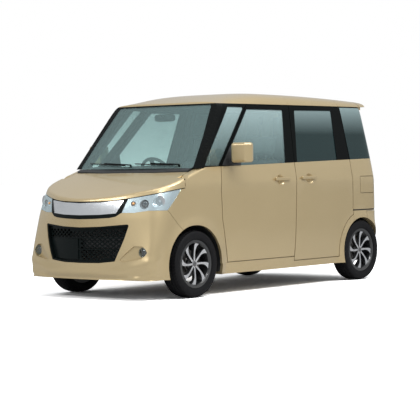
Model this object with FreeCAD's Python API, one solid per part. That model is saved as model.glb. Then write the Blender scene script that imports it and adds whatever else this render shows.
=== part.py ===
"""Kei car: a tall five-door wagon, built as separate panels, glass, wheels and running gear.

Millimetres. +X is the car's left, the nose points to -Y, +Z is up. The origin is on the
floor under the middle of the bounding box. Left-hand pieces are modelled, right-hand ones
are their mirror images.
"""
import FreeCAD, Part
import math
import os

Vector = FreeCAD.Vector

# Overall size
LENGTH = 3395.0
HALF_LENGTH = LENGTH / 2
ROOF_HEIGHT = 1735.0

# Side skin
SIDE_HALF_WIDTH = 734.0
SHOULDER_HEIGHT = 945.0
SHOULDER_SLOPE = 0.18
SHOULDER_BLEND = 9.0
GLASS_SLOPE = 0.03
GLASS_BLEND = 20.0
TUCK_START = 620.0
TUCK_HEIGHT = 445.0
TUCK = 24.0
PLAN_CROWN = 10.0
PLAN_CROWN_REACH = 1300.0
FULLEST_STATION = 200.0

# Belt line
BELT_HEIGHT = 1085.0
BELT_STATION = -700.0
BELT_RISE = 0.023

# Roof
ROOF_PEAK_STATION = 150.0
ROOF_FRONT_FALL = 1.66e-4
ROOF_REAR_FALL = 1.9e-5
RAIL_ROUNDNESS = 20
RAIL_POWER = 4
ROOF_SKIN = 30.0
RAIL_FRONT = -430.0
ROOF_FOOT = 1480.0
BAND_HEIGHT = 1626.0

# Nose in plan and in profile
NOSE_UPPER_HEIGHT = 650.0
NOSE_UPPER_CURVE = 6.2e-4
CHIN_HEIGHT = 400.0
CHIN_CURVE = 0.7e-3
FACE_SWEEP = 80.0
FACE_SWEEP_RISE = 0.26
FACE_SWEEP_FOOT = 205.0
FACE_SWEEP_WIDTH = 690.0
FACE_SWEEP_POWER = 1.8
CORNER_REACH = 75.0
CORNER_REACH_RISE = 0.14
CORNER_HEIGHT = 450.0
FOCUS_GAIN = 3.0
FOCUS_REACH = 130.0
LIP_DEPTH = 7.0
LIP_HEIGHT = 236.0
LIP_RISE = 92.0
LIP_FLAT = 400.0
LIP_CLIMB = 300.0
LIP_SPREAD = 34.0

# Tail in plan and in profile
TAIL_START = 1300.0
TAIL_POWER = 10
TAIL_CORNER = 3
TAIL_UPPER_HEIGHT = 600.0
TAIL_UPPER_CURVE = 6.0e-5
TAIL_CHIN_HEIGHT = 330.0
TAIL_CHIN_CURVE = 1.6e-3

# Bonnet surface
COWL_STATION = -1065.0
COWL_HEIGHT = 1049.0
BONNET_SLOPE = 0.33
BONNET_CURVE = 4.0e-5
BONNET_CROWN = 8.0
BONNET_CROWN_REACH = 600.0
BONNET_EDGE_RADIUS = 30.0

# Windscreen surface
SCREEN_RAKE = 0.775
SCREEN_WRAP = 1.05e-4
SCREEN_THICKNESS = 6.5
PILLAR_DEPTH = 75.0
PILLAR_WIDTH = 52.0
HEADER_HEIGHT = 1614.0
SCREEN_FOOT = 1066.0

# Wall thicknesses and gaps
SKIN = 22.0
DOOR_FLANGE = 24.0
REBATE = 32.0
DOOR_DEPTH = 84.0
FRAME_DEPTH = 105.0
FLANGE_WIDTH = 28.0
APERTURE_GAP = 8.0
SHUT_GAP = 7.0
PANEL_GAP = 4.0
LAMP_GAP = 0.9
GLASS_DEPTH = 5.0
GLASS_THICKNESS = 5.0
TAIL_WALL = 60.0
SEAM = 0.4

# Wheels and axles
TYRE_RADIUS = 281.0
TYRE_WIDTH = 165.0
RIM_RADIUS = 190.5
RIM_FLANGE = 9.0
FRONT_AXLE = -1062.0
REAR_AXLE = 1353.0
FRONT_TRACK = 1295.0
REAR_TRACK = 1290.0
SPOKE_COUNT = 8
FRONT_ARCH = 322.0
ARCH_LEAD = 30.0
REAR_ARCH = 305.0
DOOR_ARCH = 367.0
ARCH_HALF_WIDTH = 737.5
ARCH_FLARE = 50.0
FRONT_LINER = 326.0
REAR_LINER = 309.0
LINER = 5.0
FRONT_WELL = 391.0
REAR_WELL = 462.0

# Heights along the flank
SILL_BOTTOM = 176.0
DOOR_BOTTOM = 277.0
DOOR_TOP = 1619.0
WINDOW_TOP = 1578.0

# Inside of the body
FLOOR_HEIGHT = 230.0
SEAT_FLOOR = 325.0
LUGGAGE_FLOOR = 560.0
FLOOR_THICKNESS = 25.0
FLOOR_STEP = (640.0, 700.0, 1040.0, 1130.0)
BULKHEAD = -805.0
WELL_FOOT = 200.0
WELL_WINDOW = 200.0
RAIL_INNER = 320.0
RAIL_OUTER = 380.0
DASH_HALF_WIDTH = 600.0
SEAT_INNER = 95.0
SEAT_OUTER = 570.0
BENCH_HALF_WIDTH = 570.0

# Running gear
STRUT_RADIUS = 22.0
BALL_PIN = 10.0
CV_RADIUS = 36.0
SPINDLE_RADIUS = 22.0
DISC_RADIUS = 120.0
DRUM_RADIUS = 105.0
ARM_STATION = 480.0
SPRING_STATION = 400.0
EXHAUST_RADIUS = 20.0
EXHAUST_PATH = [(215.0, -1109.5, 262.0), (215.0, -1085.0, 226.0), (215.0, -930.0, 204.0),
                (215.0, -850.0, 181.0), (215.0, -700.0, 181.0), (385.0, -560.0, 180.0), (385.0, 1060.0, 180.0), (385.0, 1160.0, 190.0),
                (330.0, 1300.0, 225.0), (330.0, 1500.0, 250.0)]
SILENCER = (-60.0, 360.0, 1470.0, 1600.0, 210.0, 320.0)
COLUMN_TILT = 25.0
STEERING_CENTRE = (-350.0, -310.0, 1000.0)
STEERING_RADIUS = 178.0

# Steering
KINGPIN_FOOT = (578.0, 170.0)
KINGPIN_TOP = (480.0, 800.0)


def soft_ramp(distance, blend):
    """Zero below the corner, a straight line above it, rounded over the blend."""
    if distance > 40 * blend:
        return distance
    return blend * math.log1p(math.exp(distance / blend))


def belt(y):
    return BELT_HEIGHT + BELT_RISE * (y - BELT_STATION)


def roof_line(y):
    """Height of the roof on the centre line."""
    ahead = min(y - ROOF_PEAK_STATION, 0.0)
    behind = max(y - ROOF_PEAK_STATION, 0.0)
    return ROOF_HEIGHT - ROOF_FRONT_FALL * ahead**2 - ROOF_REAR_FALL * behind**2


def section_width(z):
    """Half width of the body at its fullest station."""
    width = SIDE_HALF_WIDTH
    width -= SHOULDER_SLOPE * soft_ramp(z - SHOULDER_HEIGHT, SHOULDER_BLEND)
    width -= GLASS_SLOPE * soft_ramp(z - BELT_HEIGHT, GLASS_BLEND)
    if z < TUCK_START:
        width -= TUCK * ((TUCK_START - z) / TUCK_HEIGHT)**2.2
    return width


def arch_share(y, z, axle, radius):
    """How much of the wheel arch's flare shows at a point of the flank."""
    distance = math.hypot(y - axle, z - TYRE_RADIUS)
    return math.exp(-(max(distance - radius, 0.0) / ARCH_FLARE)**2)


def side_x(y, z):
    """Half width of the skin at a station and a height."""
    width = section_width(z)
    width -= PLAN_CROWN * ((y - FULLEST_STATION) / PLAN_CROWN_REACH)**2
    for axle, radius in ((FRONT_AXLE, FRONT_ARCH), (REAR_AXLE, REAR_ARCH)):
        width += (ARCH_HALF_WIDTH - width) * arch_share(y, z, axle, radius)
    return width


def rail_factor(z, peak):
    """How far the roof rail's rounding draws the flank in, towards the roof's peak."""
    rise = min(max((z - BELT_HEIGHT) / (peak - BELT_HEIGHT), 0.0), 1.0)
    return (1 - rise**RAIL_ROUNDNESS)**(1 / RAIL_POWER)


def flank_x(y, z):
    """Half width of the skin with the roof rail's rounding."""
    return side_x(y, z) * rail_factor(z, roof_line(max(y, RAIL_FRONT)))


def nose_y(z):
    """Foremost station on the centre line at a height."""
    upper = NOSE_UPPER_CURVE * max(z - NOSE_UPPER_HEIGHT, 0.0)**2
    chin = CHIN_CURVE * max(CHIN_HEIGHT - z, 0.0)**2
    return -HALF_LENGTH + upper + chin


def face_sweep(z):
    """How far the nose's face lies back at its corner, at a height."""
    return FACE_SWEEP + FACE_SWEEP_RISE * max(z - FACE_SWEEP_FOOT, -60.0)


def face_y(x, z):
    """Station of the nose's face, which is bowed back towards its corners."""
    return nose_y(z) + face_sweep(z) * (abs(x) / FACE_SWEEP_WIDTH)**FACE_SWEEP_POWER


def face_slope(x, z):
    share = (abs(x) / FACE_SWEEP_WIDTH)**(FACE_SWEEP_POWER - 1)
    return face_sweep(z) * FACE_SWEEP_POWER / FACE_SWEEP_WIDTH * share


def lip(x, z):
    """How far the chin's lip stands out of the face."""
    ridge = LIP_HEIGHT + LIP_RISE * max(abs(x) - LIP_FLAT, 0.0) / LIP_CLIMB
    return LIP_DEPTH * math.exp(-((z - ridge) / LIP_SPREAD)**2)


def tail_y(z):
    """Rearmost station on the centre line at a height."""
    upper = TAIL_UPPER_CURVE * max(z - TAIL_UPPER_HEIGHT, 0.0)**2
    chin = TAIL_CHIN_CURVE * max(TAIL_CHIN_HEIGHT - z, 0.0)**2
    return HALF_LENGTH - upper - chin


def bonnet_z(x, y):
    behind = COWL_STATION - y
    slope = BONNET_SLOPE * behind + BONNET_CURVE * behind * abs(behind)
    return COWL_HEIGHT - slope - BONNET_CROWN * (x / BONNET_CROWN_REACH)**2


def screen_y(x, z):
    return COWL_STATION + SCREEN_RAKE * (z - COWL_HEIGHT) + SCREEN_WRAP * x * x


def spaced(first, last, step):
    count = max(int(math.ceil(abs(last - first) / step)), 3)
    return [first + (last - first) * i / count for i in range(count + 1)]


def surface(rows):
    sheet = Part.BSplineSurface()
    sheet.interpolate(rows)
    return sheet.toShape()


def solid_from(faces):
    shell = Part.makeShell(faces)
    shell.sewShape()
    solid = Part.Solid(shell)
    if solid.Volume < 0:
        solid.reverse()
    return solid


def box(x0, x1, y0, y1, z0, z1):
    return Part.makeBox(x1 - x0, y1 - y0, z1 - z0, Vector(x0, y0, z0))


def mirrored(shape):
    return shape.mirror(Vector(0, 0, 0), Vector(1, 0, 0))


def outline(points, radius=0.0):
    """Closed wire through coplanar points, its corners rounded where a radius is given."""
    edges = []
    count = len(points)
    starts, ends = [], []
    for i, corner in enumerate(points):
        before = (points[i - 1] - corner)
        after = (points[(i + 1) % count] - corner)
        angle = before.getAngle(after)
        reach = radius / math.tan(angle / 2) if radius else 0.0
        reach = min(reach, 0.45 * before.Length, 0.45 * after.Length)
        start = corner + before.normalize() * reach
        end = corner + after.normalize() * reach
        starts.append(start)
        ends.append(end)
        if reach > 0.01:
            bulge = reach * math.tan(angle / 2)
            inward = (before + after).normalize()
            middle = corner + inward * (bulge / math.sin(angle / 2) - bulge)
            edges.append(Part.Arc(start, middle, end).toShape())
        edges.append(None)
    wire = []
    index = 0
    for edge in edges:
        if edge is not None:
            wire.append(edge)
            continue
        here = ends[index]
        there = starts[(index + 1) % count]
        if (there - here).Length > 0.01:
            wire.append(Part.makeLine(here, there))
        index += 1
    return Part.Wire(wire)


def side_prism(points, x0, x1, radius=0.0):
    """Prism across the car from an outline of (y, z) points."""
    wire = outline([Vector(x0, y, z) for y, z in points], radius)
    return Part.Face(wire).extrude(Vector(x1 - x0, 0, 0))


def front_prism(points, y0, y1, radius=0.0):
    """Prism along the car from an outline of (x, z) points."""
    wire = outline([Vector(x, y0, z) for x, z in points], radius)
    return Part.Face(wire).extrude(Vector(0, y1 - y0, 0))


def plan_prism(points, z0, z1, radius=0.0):
    """Upright prism from an outline of (x, y) points."""
    wire = outline([Vector(x, y, z0) for x, y in points], radius)
    return Part.Face(wire).extrude(Vector(0, 0, z1 - z0))


def shared(first, second):
    """What two shapes that cross have in common."""
    result = first.common(second)
    if not result.Solids:
        raise ValueError("shapes that should cross share nothing")
    return result


def curve(points):
    spline = Part.BSplineCurve()
    spline.interpolate(points)
    return spline.toShape()


def resampled(points, count, focus=None):
    """The same line with its points evenly spaced, or closer together round a focus."""
    run = [0.0]
    for here, there in zip(points, points[1:]):
        length = (there - here).Length
        if focus:
            length *= 1 + FOCUS_GAIN * math.exp(-((here - focus).Length / FOCUS_REACH)**2)
        run.append(run[-1] + length)
    result = []
    index = 0
    for i in range(count):
        target = run[-1] * i / (count - 1)
        while index < len(run) - 2 and run[index + 1] < target:
            index += 1
        share = (target - run[index]) / (run[index + 1] - run[index])
        result.append(points[index] + (points[index + 1] - points[index]) * min(max(share, 0.0), 1.0))
    return result


def nose_half(z, inset, open_station, count):
    """Plan line of the nose's left half at a height: flank, tight corner and bowed face."""
    x = SIDE_HALF_WIDTH
    for _ in range(5):
        x = flank_x(face_y(x, z), z)
    reach = CORNER_REACH + CORNER_REACH_RISE * max(z - CORNER_HEIGHT, 0.0)
    corner = Vector(x, face_y(x, z), z)
    station = corner.y + reach
    start = Vector(flank_x(station, z), station, z)
    end_x = x - 0.9 * reach
    end = Vector(end_x, face_y(end_x, z), z)
    pull = Vector(start.x, end.y + face_slope(end_x, z) * (start.x - end_x), z)
    line = [Vector(flank_x(y, z), y, z) for y in spaced(open_station, station, 20.0)[:-1]]
    for i in range(25):
        t = i / 24
        line.append(start * (1 - t)**2 + pull * (2 * t * (1 - t)) + end * t**2)
    line += [Vector(across, face_y(across, z), z) for across in spaced(end_x, 0.0, 12.0)[1:]]
    moved = []
    for i, point in enumerate(line):
        along = (line[min(i + 1, len(line) - 1)] - line[max(i - 1, 0)]).normalize()
        fade = min(max((station + 40.0 - point.y) / 120.0, 0.0), 1.0)
        out = lip(point.x, z) * fade - inset
        moved.append(point + Vector(-along.y, along.x, 0) * out)
    moved[0].y = open_station
    moved[-1].x = 0.0
    return resampled(moved, count, corner)


def tail_half(z, inset, open_station, count):
    """Plan line of the tail's left half at a height."""
    tip = tail_y(z) - inset
    line = []
    for y in spaced(open_station, TAIL_START, 25.0)[:-1]:
        line.append(Vector(flank_x(y, z) - inset, y, z))
    for i in range(241):
        share = math.sin(math.pi / 2 * i / 240)
        y = TAIL_START + (tip - TAIL_START) * share
        width = (flank_x(y, z) - inset) * max(1 - share**TAIL_POWER, 0.0)**(1 / TAIL_CORNER)
        line.append(Vector(width, y, z))
    return resampled(line, count)


def end_volume(half_line, inset, open_station, z0, z1, step, count):
    """Solid filled body end, cut flat at its open station, bottom and top."""
    rows = []
    for z in spaced(z0, z1, step):
        left = half_line(z, inset, open_station, count)
        rows.append(left + [Vector(-p.x, p.y, p.z) for p in reversed(left[:-1])])
    skin = surface(rows)
    edges = skin.Edges
    bottom = min(edges, key=lambda e: e.CenterOfMass.z)
    top = max(edges, key=lambda e: e.CenterOfMass.z)
    left = max(edges, key=lambda e: e.CenterOfMass.x)
    right = min(edges, key=lambda e: e.CenterOfMass.x)
    low = Part.makeLine(bottom.Vertexes[0].Point, bottom.Vertexes[-1].Point)
    high = Part.makeLine(top.Vertexes[0].Point, top.Vertexes[-1].Point)
    back = Part.Wire(Part.__sortEdges__([left, low, right, high]))
    caps = [Part.Wire([bottom, low]), Part.Wire([top, high]), back]
    return solid_from([skin] + [Part.Face(wire) for wire in caps])


def nose_volume(inset):
    """Filled nose; a smaller one runs further back, down and up, so as to cut a clear wall."""
    return end_volume(nose_half, inset, -560.0 + inset, 170.0 - inset, 1120.0 + inset, 38.0, 37)


def tail_volume(inset):
    return end_volume(tail_half, inset, 1150.0 - inset, 170.0 - inset, 1622.0 + inset / 4, 48.0,
                      31)


def under_bonnet(drop):
    """Everything below the bonnet's surface, lowered by a drop."""
    rows = []
    for y in spaced(-1760.0, -530.0, 77.0):
        rows.append([Vector(x, y, bonnet_z(x, y) - drop) for x in spaced(-820.0, 820.0, 68.0)])
    return surface(rows).extrude(Vector(0, 0, -1100.0))


def heights(z0, z1):
    """Section heights along the flank, closer together at the shoulder crease."""
    crease = [SHOULDER_HEIGHT + d for d in (-24.0, -12.0, 0.0, 12.0, 24.0)]
    rest = [z for z in spaced(z0, z1, 45.0) if abs(z - SHOULDER_HEIGHT) > 36.0]
    return sorted(rest + [z for z in crease if z0 < z < z1])


def side_slab(y0, y1, z0, z1, outer, inner):
    """Slab of the left flank between two depths below the skin."""
    rows = []
    for z in heights(z0, z1):
        rows.append([Vector(flank_x(y, z) - outer, y, z) for y in spaced(y0, y1, 40.0)])
    return surface(rows).extrude(Vector(outer - inner, 0, 0))


def roof_row(y, drop, z0, count):
    """Section over the roof at a station, from the left flank to the right."""
    full = roof_line(max(y, RAIL_FRONT))
    flatter = (roof_line(y) - BAND_HEIGHT) / (full - BAND_HEIGHT)
    left = []
    for i in range(201):
        z = z0 + (full - z0) * math.sin(math.pi / 2 * i / 200)
        lowered = z if z < BAND_HEIGHT else BAND_HEIGHT + (z - BAND_HEIGHT) * flatter
        left.append(Vector(side_x(y, z) * rail_factor(z, full), y, lowered))
    left[-1] = Vector(0, y, roof_line(y))
    left = resampled(left, count // 2 + 1)
    right = [Vector(-p.x, p.y, p.z) for p in reversed(left[:-1])]
    row = left + right
    return [Vector(p.x * (1 - drop / SIDE_HALF_WIDTH), p.y, p.z - drop) for p in row]


def roof_volume(drop, y0, y1):
    """Everything under the roof's surface over a stretch of its length."""
    skin = surface([roof_row(y, drop, ROOF_FOOT, 61) for y in spaced(y0, y1, 75.0)])
    return skin.extrude(Vector(0, 0, -400.0))


def screen_slab(outer, inner):
    """Slab of the windscreen's surface between two depths along the car."""
    rows = []
    for z in spaced(990.0, 1760.0, 110.0):
        rows.append([Vector(x, screen_y(x, z) + outer, z) for x in spaced(-800.0, 800.0, 100.0)])
    return surface(rows).extrude(Vector(0, inner - outer, 0))


def inset_outline(points, distance):
    """The outline moved inward by a distance, its corners kept sharp."""
    wire = outline([Vector(0, y, z) for y, z in points])
    moved = wire.makeOffset2D(-distance, 2)
    return [(v.Point.y, v.Point.z) for v in moved.OrderedVertexes]


# Lines of the flank, as (y, z)

def bar_line(z):
    """Front edge of the slanted bar between quarter light and door window."""
    return -246.0 - (1598.0 - z) * 0.945


BAR_WIDTH = 22.0
BAR_TO_WINDOW = 56.0
FRONT_DOOR = [
    (-640.0, DOOR_BOTTOM), (-712.0, 640.0), (-724.0, 900.0), (-694.0, 1074.0),
    (bar_line(1092.0) + BAR_WIDTH + SHUT_GAP, 1092.0),
    (bar_line(DOOR_TOP) + BAR_WIDTH + SHUT_GAP, DOOR_TOP),
    (407.0 - SHUT_GAP / 2, DOOR_TOP), (341.0 - SHUT_GAP / 2, belt(341.0)),
    (300.0 - SHUT_GAP / 2, DOOR_BOTTOM)]
FRONT_WINDOW = [
    (bar_line(1262.0) + BAR_TO_WINDOW, 1262.0), (bar_line(WINDOW_TOP) + BAR_TO_WINDOW, WINDOW_TOP),
    (303.0, WINDOW_TOP), (209.0, belt(209.0)), (-430.0, belt(-430.0))]
REAR_DOOR = [
    (300.0 + SHUT_GAP / 2, 240.0), (341.0 + SHUT_GAP / 2, belt(341.0)),
    (407.0 + SHUT_GAP / 2, DOOR_TOP), (1196.0, DOOR_TOP), (1213.0, belt(1213.0)), (1211.0, 520.0),
    (1080.0, 240.0)]
REAR_WINDOW = [
    (382.0, belt(382.0)), (479.0, WINDOW_TOP), (1052.0, WINDOW_TOP + 5.0), (1011.0, belt(1011.0))]
QUARTER_LIGHT = [
    (-915.0, 1092.0), (-462.0, 1596.0), (bar_line(1596.0), 1596.0), (bar_line(1092.0), 1092.0)]
QUARTER_WINDOW = [
    (1226.0, belt(1226.0)), (1208.0, 1614.0), (1700.0, 1614.0), (1700.0, belt(1640.0))]
QUARTER_OPENING = [
    (1290.0, belt(1290.0) + 45.0), (1275.0, 1560.0), (1490.0, 1560.0), (1540.0, belt(1540.0) + 45.0)]


def arch_cut(axle, radius, x0, x1, lead=0.0):
    """Drum about an axle; a lead stretches it forward."""
    drum = Part.makeCylinder(radius, x1 - x0, Vector(x0, axle, TYRE_RADIUS), Vector(1, 0, 0))
    if lead:
        drum = drum.fuse(Part.makeCylinder(radius, x1 - x0, Vector(x0, axle - lead, TYRE_RADIUS),
                                           Vector(1, 0, 0)))
    return drum


def handle(y, z, length):
    """Bar handle standing over its finger cup, on the left flank."""
    skin = side_x(y, z)
    bar = Part.makeBox(12.0, length, 26.0, Vector(skin + 12.0, y - length / 2, z - 13.0))
    bar = bar.makeFillet(5.5, bar.Edges)
    feet = []
    for end in (-1, 1):
        centre = y + end * (length / 2 - 22.0)
        feet.append(box(skin - 6.0, skin + 16.0, centre - 13.0, centre + 13.0, z - 9.0, z + 9.0))
    return bar.fuse(feet)


HANDLE_LENGTH = 215.0
CUP_RADIUS = 52.0
CUP_DEPTH = 15.0
FRONT_HANDLE = (118.0, 967.0)
REAR_HANDLE = (511.0, 972.0)
FRONT_CUP = 99.0
REAR_CUP = 534.0


def cup(y, z):
    """Round finger recess behind a handle."""
    ball = (CUP_RADIUS**2 + CUP_DEPTH**2) / (2 * CUP_DEPTH)
    return Part.makeSphere(ball, Vector(side_x(y, z) + ball - CUP_DEPTH, y, z))


def door(points, window, y0, y1, grip, cup_station, arch=None):
    """Door: a flanged outer panel, a deep inner body below the belt and a slim window frame."""
    z0 = min(z for _, z in points) - 20.0
    whole = side_slab(y0, y1, z0, DOOR_TOP + 20.0, 0.0, DOOR_DEPTH)
    panel = whole.common(side_prism(points, 400.0, 800.0))
    deep = side_prism(inset_outline(points, FLANGE_WIDTH), 300.0, 900.0)
    deep = deep.common(box(200.0, 1000.0, y0, y1, 0.0, belt(y0) - 22.0))
    if arch:
        deep = deep.cut(arch_cut(REAR_AXLE, arch + FLANGE_WIDTH, 200.0, 1000.0))
    waste = side_slab(y0 - 30.0, y1 + 30.0, z0 - 30.0, DOOR_TOP + 40.0, DOOR_FLANGE,
                      DOOR_DEPTH + 20.0).cut(deep)
    panel = panel.cut(waste)
    panel = panel.cut(side_prism(window, 400.0, 800.0, 12.0))
    panel = panel.cut(cup(cup_station, grip[1]))
    if arch:
        panel = panel.cut(arch_cut(REAR_AXLE, arch, 400.0, 800.0))
    return panel.fuse(handle(grip[0], grip[1], HANDLE_LENGTH))


def side_glass(window, y0, y1, radius):
    pane = side_slab(y0, y1, BELT_HEIGHT - 30.0, DOOR_TOP + 20.0, GLASS_DEPTH,
                     GLASS_DEPTH + GLASS_THICKNESS)
    return pane.common(side_prism(window, 400.0, 800.0, radius))


def front_door():
    return door(FRONT_DOOR, FRONT_WINDOW, -760.0, 440.0, FRONT_HANDLE, FRONT_CUP)


def rear_door():
    return door(REAR_DOOR, REAR_WINDOW, 270.0, 1240.0, REAR_HANDLE, REAR_CUP, DOOR_ARCH)


BONNET_EDGE = [(-1684.0, 812.0), (-1648.0, 817.0), (-1576.0, 836.0), (-1456.0, 873.0),
               (-1232.0, 912.0)]
BONNET_SIDE_STATION = -1190.0
BONNET_HALF_WIDTH = 640.0
LAMP_REAR = [(-1402.0, 734.0), (-1226.0, 912.0)]
BAND_BOTTOM = [(0.0, 668.0), (160.0, 672.0), (300.0, 680.0), (352.0, 690.0), (398.0, 720.0),
               (500.0, 720.0), (608.0, 737.0), (900.0, 737.0)]
LAMP_INNER = (398.0, 718.0)
LAMP_LEAN = 0.318
CHROME_TOP = [(407.0, 822.0), (200.0, 806.0), (0.0, 800.0)]
CHROME_BOTTOM = [(0.0, 701.0), (200.0, 705.0), (352.0, 716.0)]
CHROME_THICKNESS = 16.0
GROOVE_PITCH = 11.0
GROOVE_HEIGHT = 3.0
LENS_THICKNESS = 4.0
LAMP_BOWLS = [(481.0, -1561.0, 795.0, 24.0), (565.0, -1511.0, 792.0, 38.0),
              (662.0, -1442.0, 812.0, 44.0)]
GRILLE_TOP = [(472.0, 628.0), (200.0, 607.0), (0.0, 601.0)]
GRILLE_BOTTOM = [(0.0, 306.0), (200.0, 309.0), (357.0, 325.0), (408.0, 436.0), (438.0, 512.0)]
GRILLE_BORDER = 13.0
GRILLE_FRAME = (5.0, 54.0)
MESH_RADIUS = 1250.0
MESH_STATION = -1667.5
MESH_THICKNESS = 8.0
MESH_PITCH = (52.0, 36.0)
MESH_WIRE = 7.0
GRILLE_BARS = (420.0, 512.0)
BLANK_PLATE = (-408.0, -40.0, 336.0, 505.0)
BUMPER_JOINT = [(-1402.0, 734.0), (-1230.0, 562.0)]
FOG_LAMP = (595.0, 398.0)
FOG_RADIUS = 40.0
FOG_FACE = -1588.0
FOG_WEDGE = [(392.0, 330.0), (470.0, 403.0), (526.0, 452.0), (600.0, 448.0), (646.0, 398.0),
             (600.0, 348.0), (450.0, 322.0)]
FOG_FLOOR = [(385.0, -1655.0), (595.0, -1572.0), (672.0, -1543.0)]
FOG_POD = (10.0, 58.0)


def bonnet_edge_prism(lift):
    """Everything above the bonnet's lower edge, as seen from the side."""
    points = [Vector(-800.0, y, z + lift) for y, z in BONNET_EDGE]
    start = Vector(-800.0, -1800.0, points[0].z - 30.0)
    end = Vector(-800.0, BONNET_SIDE_STATION, points[-1].z + 4.0)
    line = [start] + points + [end]
    top = 1200.0
    wire = Part.Wire([curve(line), Part.makeLine(end, Vector(-800.0, end.y, top)),
                      Part.makeLine(Vector(-800.0, end.y, top), Vector(-800.0, start.y, top)),
                      Part.makeLine(Vector(-800.0, start.y, top), start)])
    return Part.Face(wire).extrude(Vector(1600.0, 0, 0))


def mirrored_outline(top, bottom):
    """Closed outline from the left halves of its top and bottom lines."""
    left_top = [(-x, z) for x, z in top]
    left_bottom = [(-x, z) for x, z in bottom if x]
    return left_top + list(reversed(top[:-1])) + list(reversed(bottom)) + left_bottom


def band_prism(lift):
    """Everything above the line under the upper grille and the headlamps."""
    right = [(x, z + lift) for x, z in BAND_BOTTOM]
    left = [(-x, z) for x, z in reversed(right[1:])]
    return front_prism(left + right + [(900.0, 1250.0), (-900.0, 1250.0)], -1800.0, -1100.0, 10.0)


def lamp_line(z):
    """Inner edge of the headlamp at a height."""
    return LAMP_INNER[0] + LAMP_LEAN * (z - LAMP_INNER[1])


def rear_edge_prism(points, shift):
    """Everything behind a slanting line on the flank."""
    (y0, z0), (y1, z1) = points
    slope = (y1 - y0) / (z1 - z0)
    low = (y0 + slope * (100.0 - z0) + shift, 100.0)
    high = (y0 + slope * (1200.0 - z0) + shift, 1200.0)
    return side_prism([low, high, (-400.0, 1200.0), (-400.0, 100.0)], -900.0, 900.0)


def build_front():
    """Bonnet, wings, bumper, headlamps and the two grilles from one nose shape."""
    outer = nose_volume(0.0).common(under_bonnet(0.0))
    long_edges = [e for e in outer.Edges if e.Length > 2000.0 and e.CenterOfMass.z > 700.0]
    outer = outer.makeFillet(BONNET_EDGE_RADIUS, long_edges)
    inner = nose_volume(SKIN).common(under_bonnet(SKIN))
    inner = inner.fuse(box(-600.0, 600.0, -1000.0, -500.0, 1000.0, 1130.0))

    bonnet_plan = plan_prism([(-900.0, -1800.0), (900.0, -1800.0), (900.0, BONNET_SIDE_STATION),
                              (BONNET_HALF_WIDTH, BONNET_SIDE_STATION),
                              (BONNET_HALF_WIDTH, -1058.0), (300.0, -1094.0), (-300.0, -1094.0),
                              (-BONNET_HALF_WIDTH, -1058.0),
                              (-BONNET_HALF_WIDTH, BONNET_SIDE_STATION),
                              (-900.0, BONNET_SIDE_STATION)], 100.0, 1200.0)
    above_edge = bonnet_edge_prism(0.0)
    flanks = box(-900.0, 900.0, BONNET_SIDE_STATION - 5.0, -1000.0, 930.0, 1200.0)
    bonnet_zone = bonnet_plan.common(above_edge.fuse(flanks))
    bonnet = outer.common(bonnet_zone).cut(inner)

    gap_plan = plan_prism([(-900.0, -1800.0), (900.0, -1800.0),
                           (900.0, BONNET_SIDE_STATION + SHUT_GAP),
                           (BONNET_HALF_WIDTH + SHUT_GAP, BONNET_SIDE_STATION + SHUT_GAP),
                           (BONNET_HALF_WIDTH + SHUT_GAP, -900.0),
                           (-BONNET_HALF_WIDTH - SHUT_GAP, -900.0),
                           (-BONNET_HALF_WIDTH - SHUT_GAP, BONNET_SIDE_STATION + SHUT_GAP),
                           (-900.0, BONNET_SIDE_STATION + SHUT_GAP)], 100.0, 1200.0)
    gap_flanks = box(-900.0, 900.0, BONNET_SIDE_STATION - 5.0, -900.0, 925.0, 1200.0)
    bonnet_gap = gap_plan.common(bonnet_edge_prism(-SHUT_GAP).fuse(gap_flanks))

    below = outer.cut(bonnet_gap)
    band = band_prism(0.0)
    behind_lamp = rear_edge_prism(LAMP_REAR, 0.0)

    upper_band = below.common(band).cut(behind_lamp)
    lamp_zone = front_prism([(lamp_line(600.0), 600.0), (lamp_line(1200.0), 1200.0),
                             (900.0, 1200.0), (900.0, 600.0)], -1800.0, -1000.0)
    edge = [(lamp_line(z) - LAMP_GAP, z) for z in (600.0, 900.0)]
    grille_zone = front_prism([(-x, z) for x, z in edge] + list(reversed(edge)), -1800.0, -1000.0)
    lamp = upper_band.common(lamp_zone).cut(nose_volume(60.0))
    upper = upper_band.common(grille_zone).cut(nose_volume(45.0))

    bumper_zone = below.cut(band_prism(-LAMP_GAP)).cut(rear_edge_prism(BUMPER_JOINT, 0.0))
    bumper = bumper_zone.cut(nose_volume(SKIN))
    wheel = arch_cut(FRONT_AXLE, FRONT_ARCH, -900.0, 900.0, ARCH_LEAD)
    bumper = bumper.cut(box(-900.0, 900.0, FRONT_AXLE, -500.0, 0.0, 800.0)).cut(wheel)

    wing = below.common(rear_edge_prism(BUMPER_JOINT, PANEL_GAP))
    wing = wing.common(rear_edge_prism(LAMP_REAR, LAMP_GAP)).cut(inner)
    return bonnet, bumper, wing, lamp, upper, inner


def wing_prism(gap):
    """Outline of a front wing up to its door edge, sill and belt line."""
    edge = [(y - SHUT_GAP, z) for y, z in FRONT_DOOR[:4]]
    zone = [(-1600.0, DOOR_BOTTOM - 8.0), (edge[0][0], DOOR_BOTTOM - 8.0)] + edge
    zone += [(edge[-1][0], belt(edge[-1][0]) - 8.0), (-1020.0, 1073.0), (-1100.0, 1130.0),
             (-1600.0, 1130.0)]
    return side_prism(inset_outline(zone, -gap) if gap else zone, 300.0, 900.0)


def front_wing(raw):
    """Left front wing, trimmed to its door edge, arch, sill and belt line."""
    wing = raw.common(wing_prism(0.0))
    return wing.cut(arch_cut(FRONT_AXLE, FRONT_ARCH, 300.0, 900.0, ARCH_LEAD))


def wing_clearance(inner):
    """Room that the left wing takes out of the side frame behind it."""
    backing = inner.copy()
    backing.translate(Vector(-SEAM, 0, -SEAM))
    return wing_prism(SEAM).cut(backing)


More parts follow.
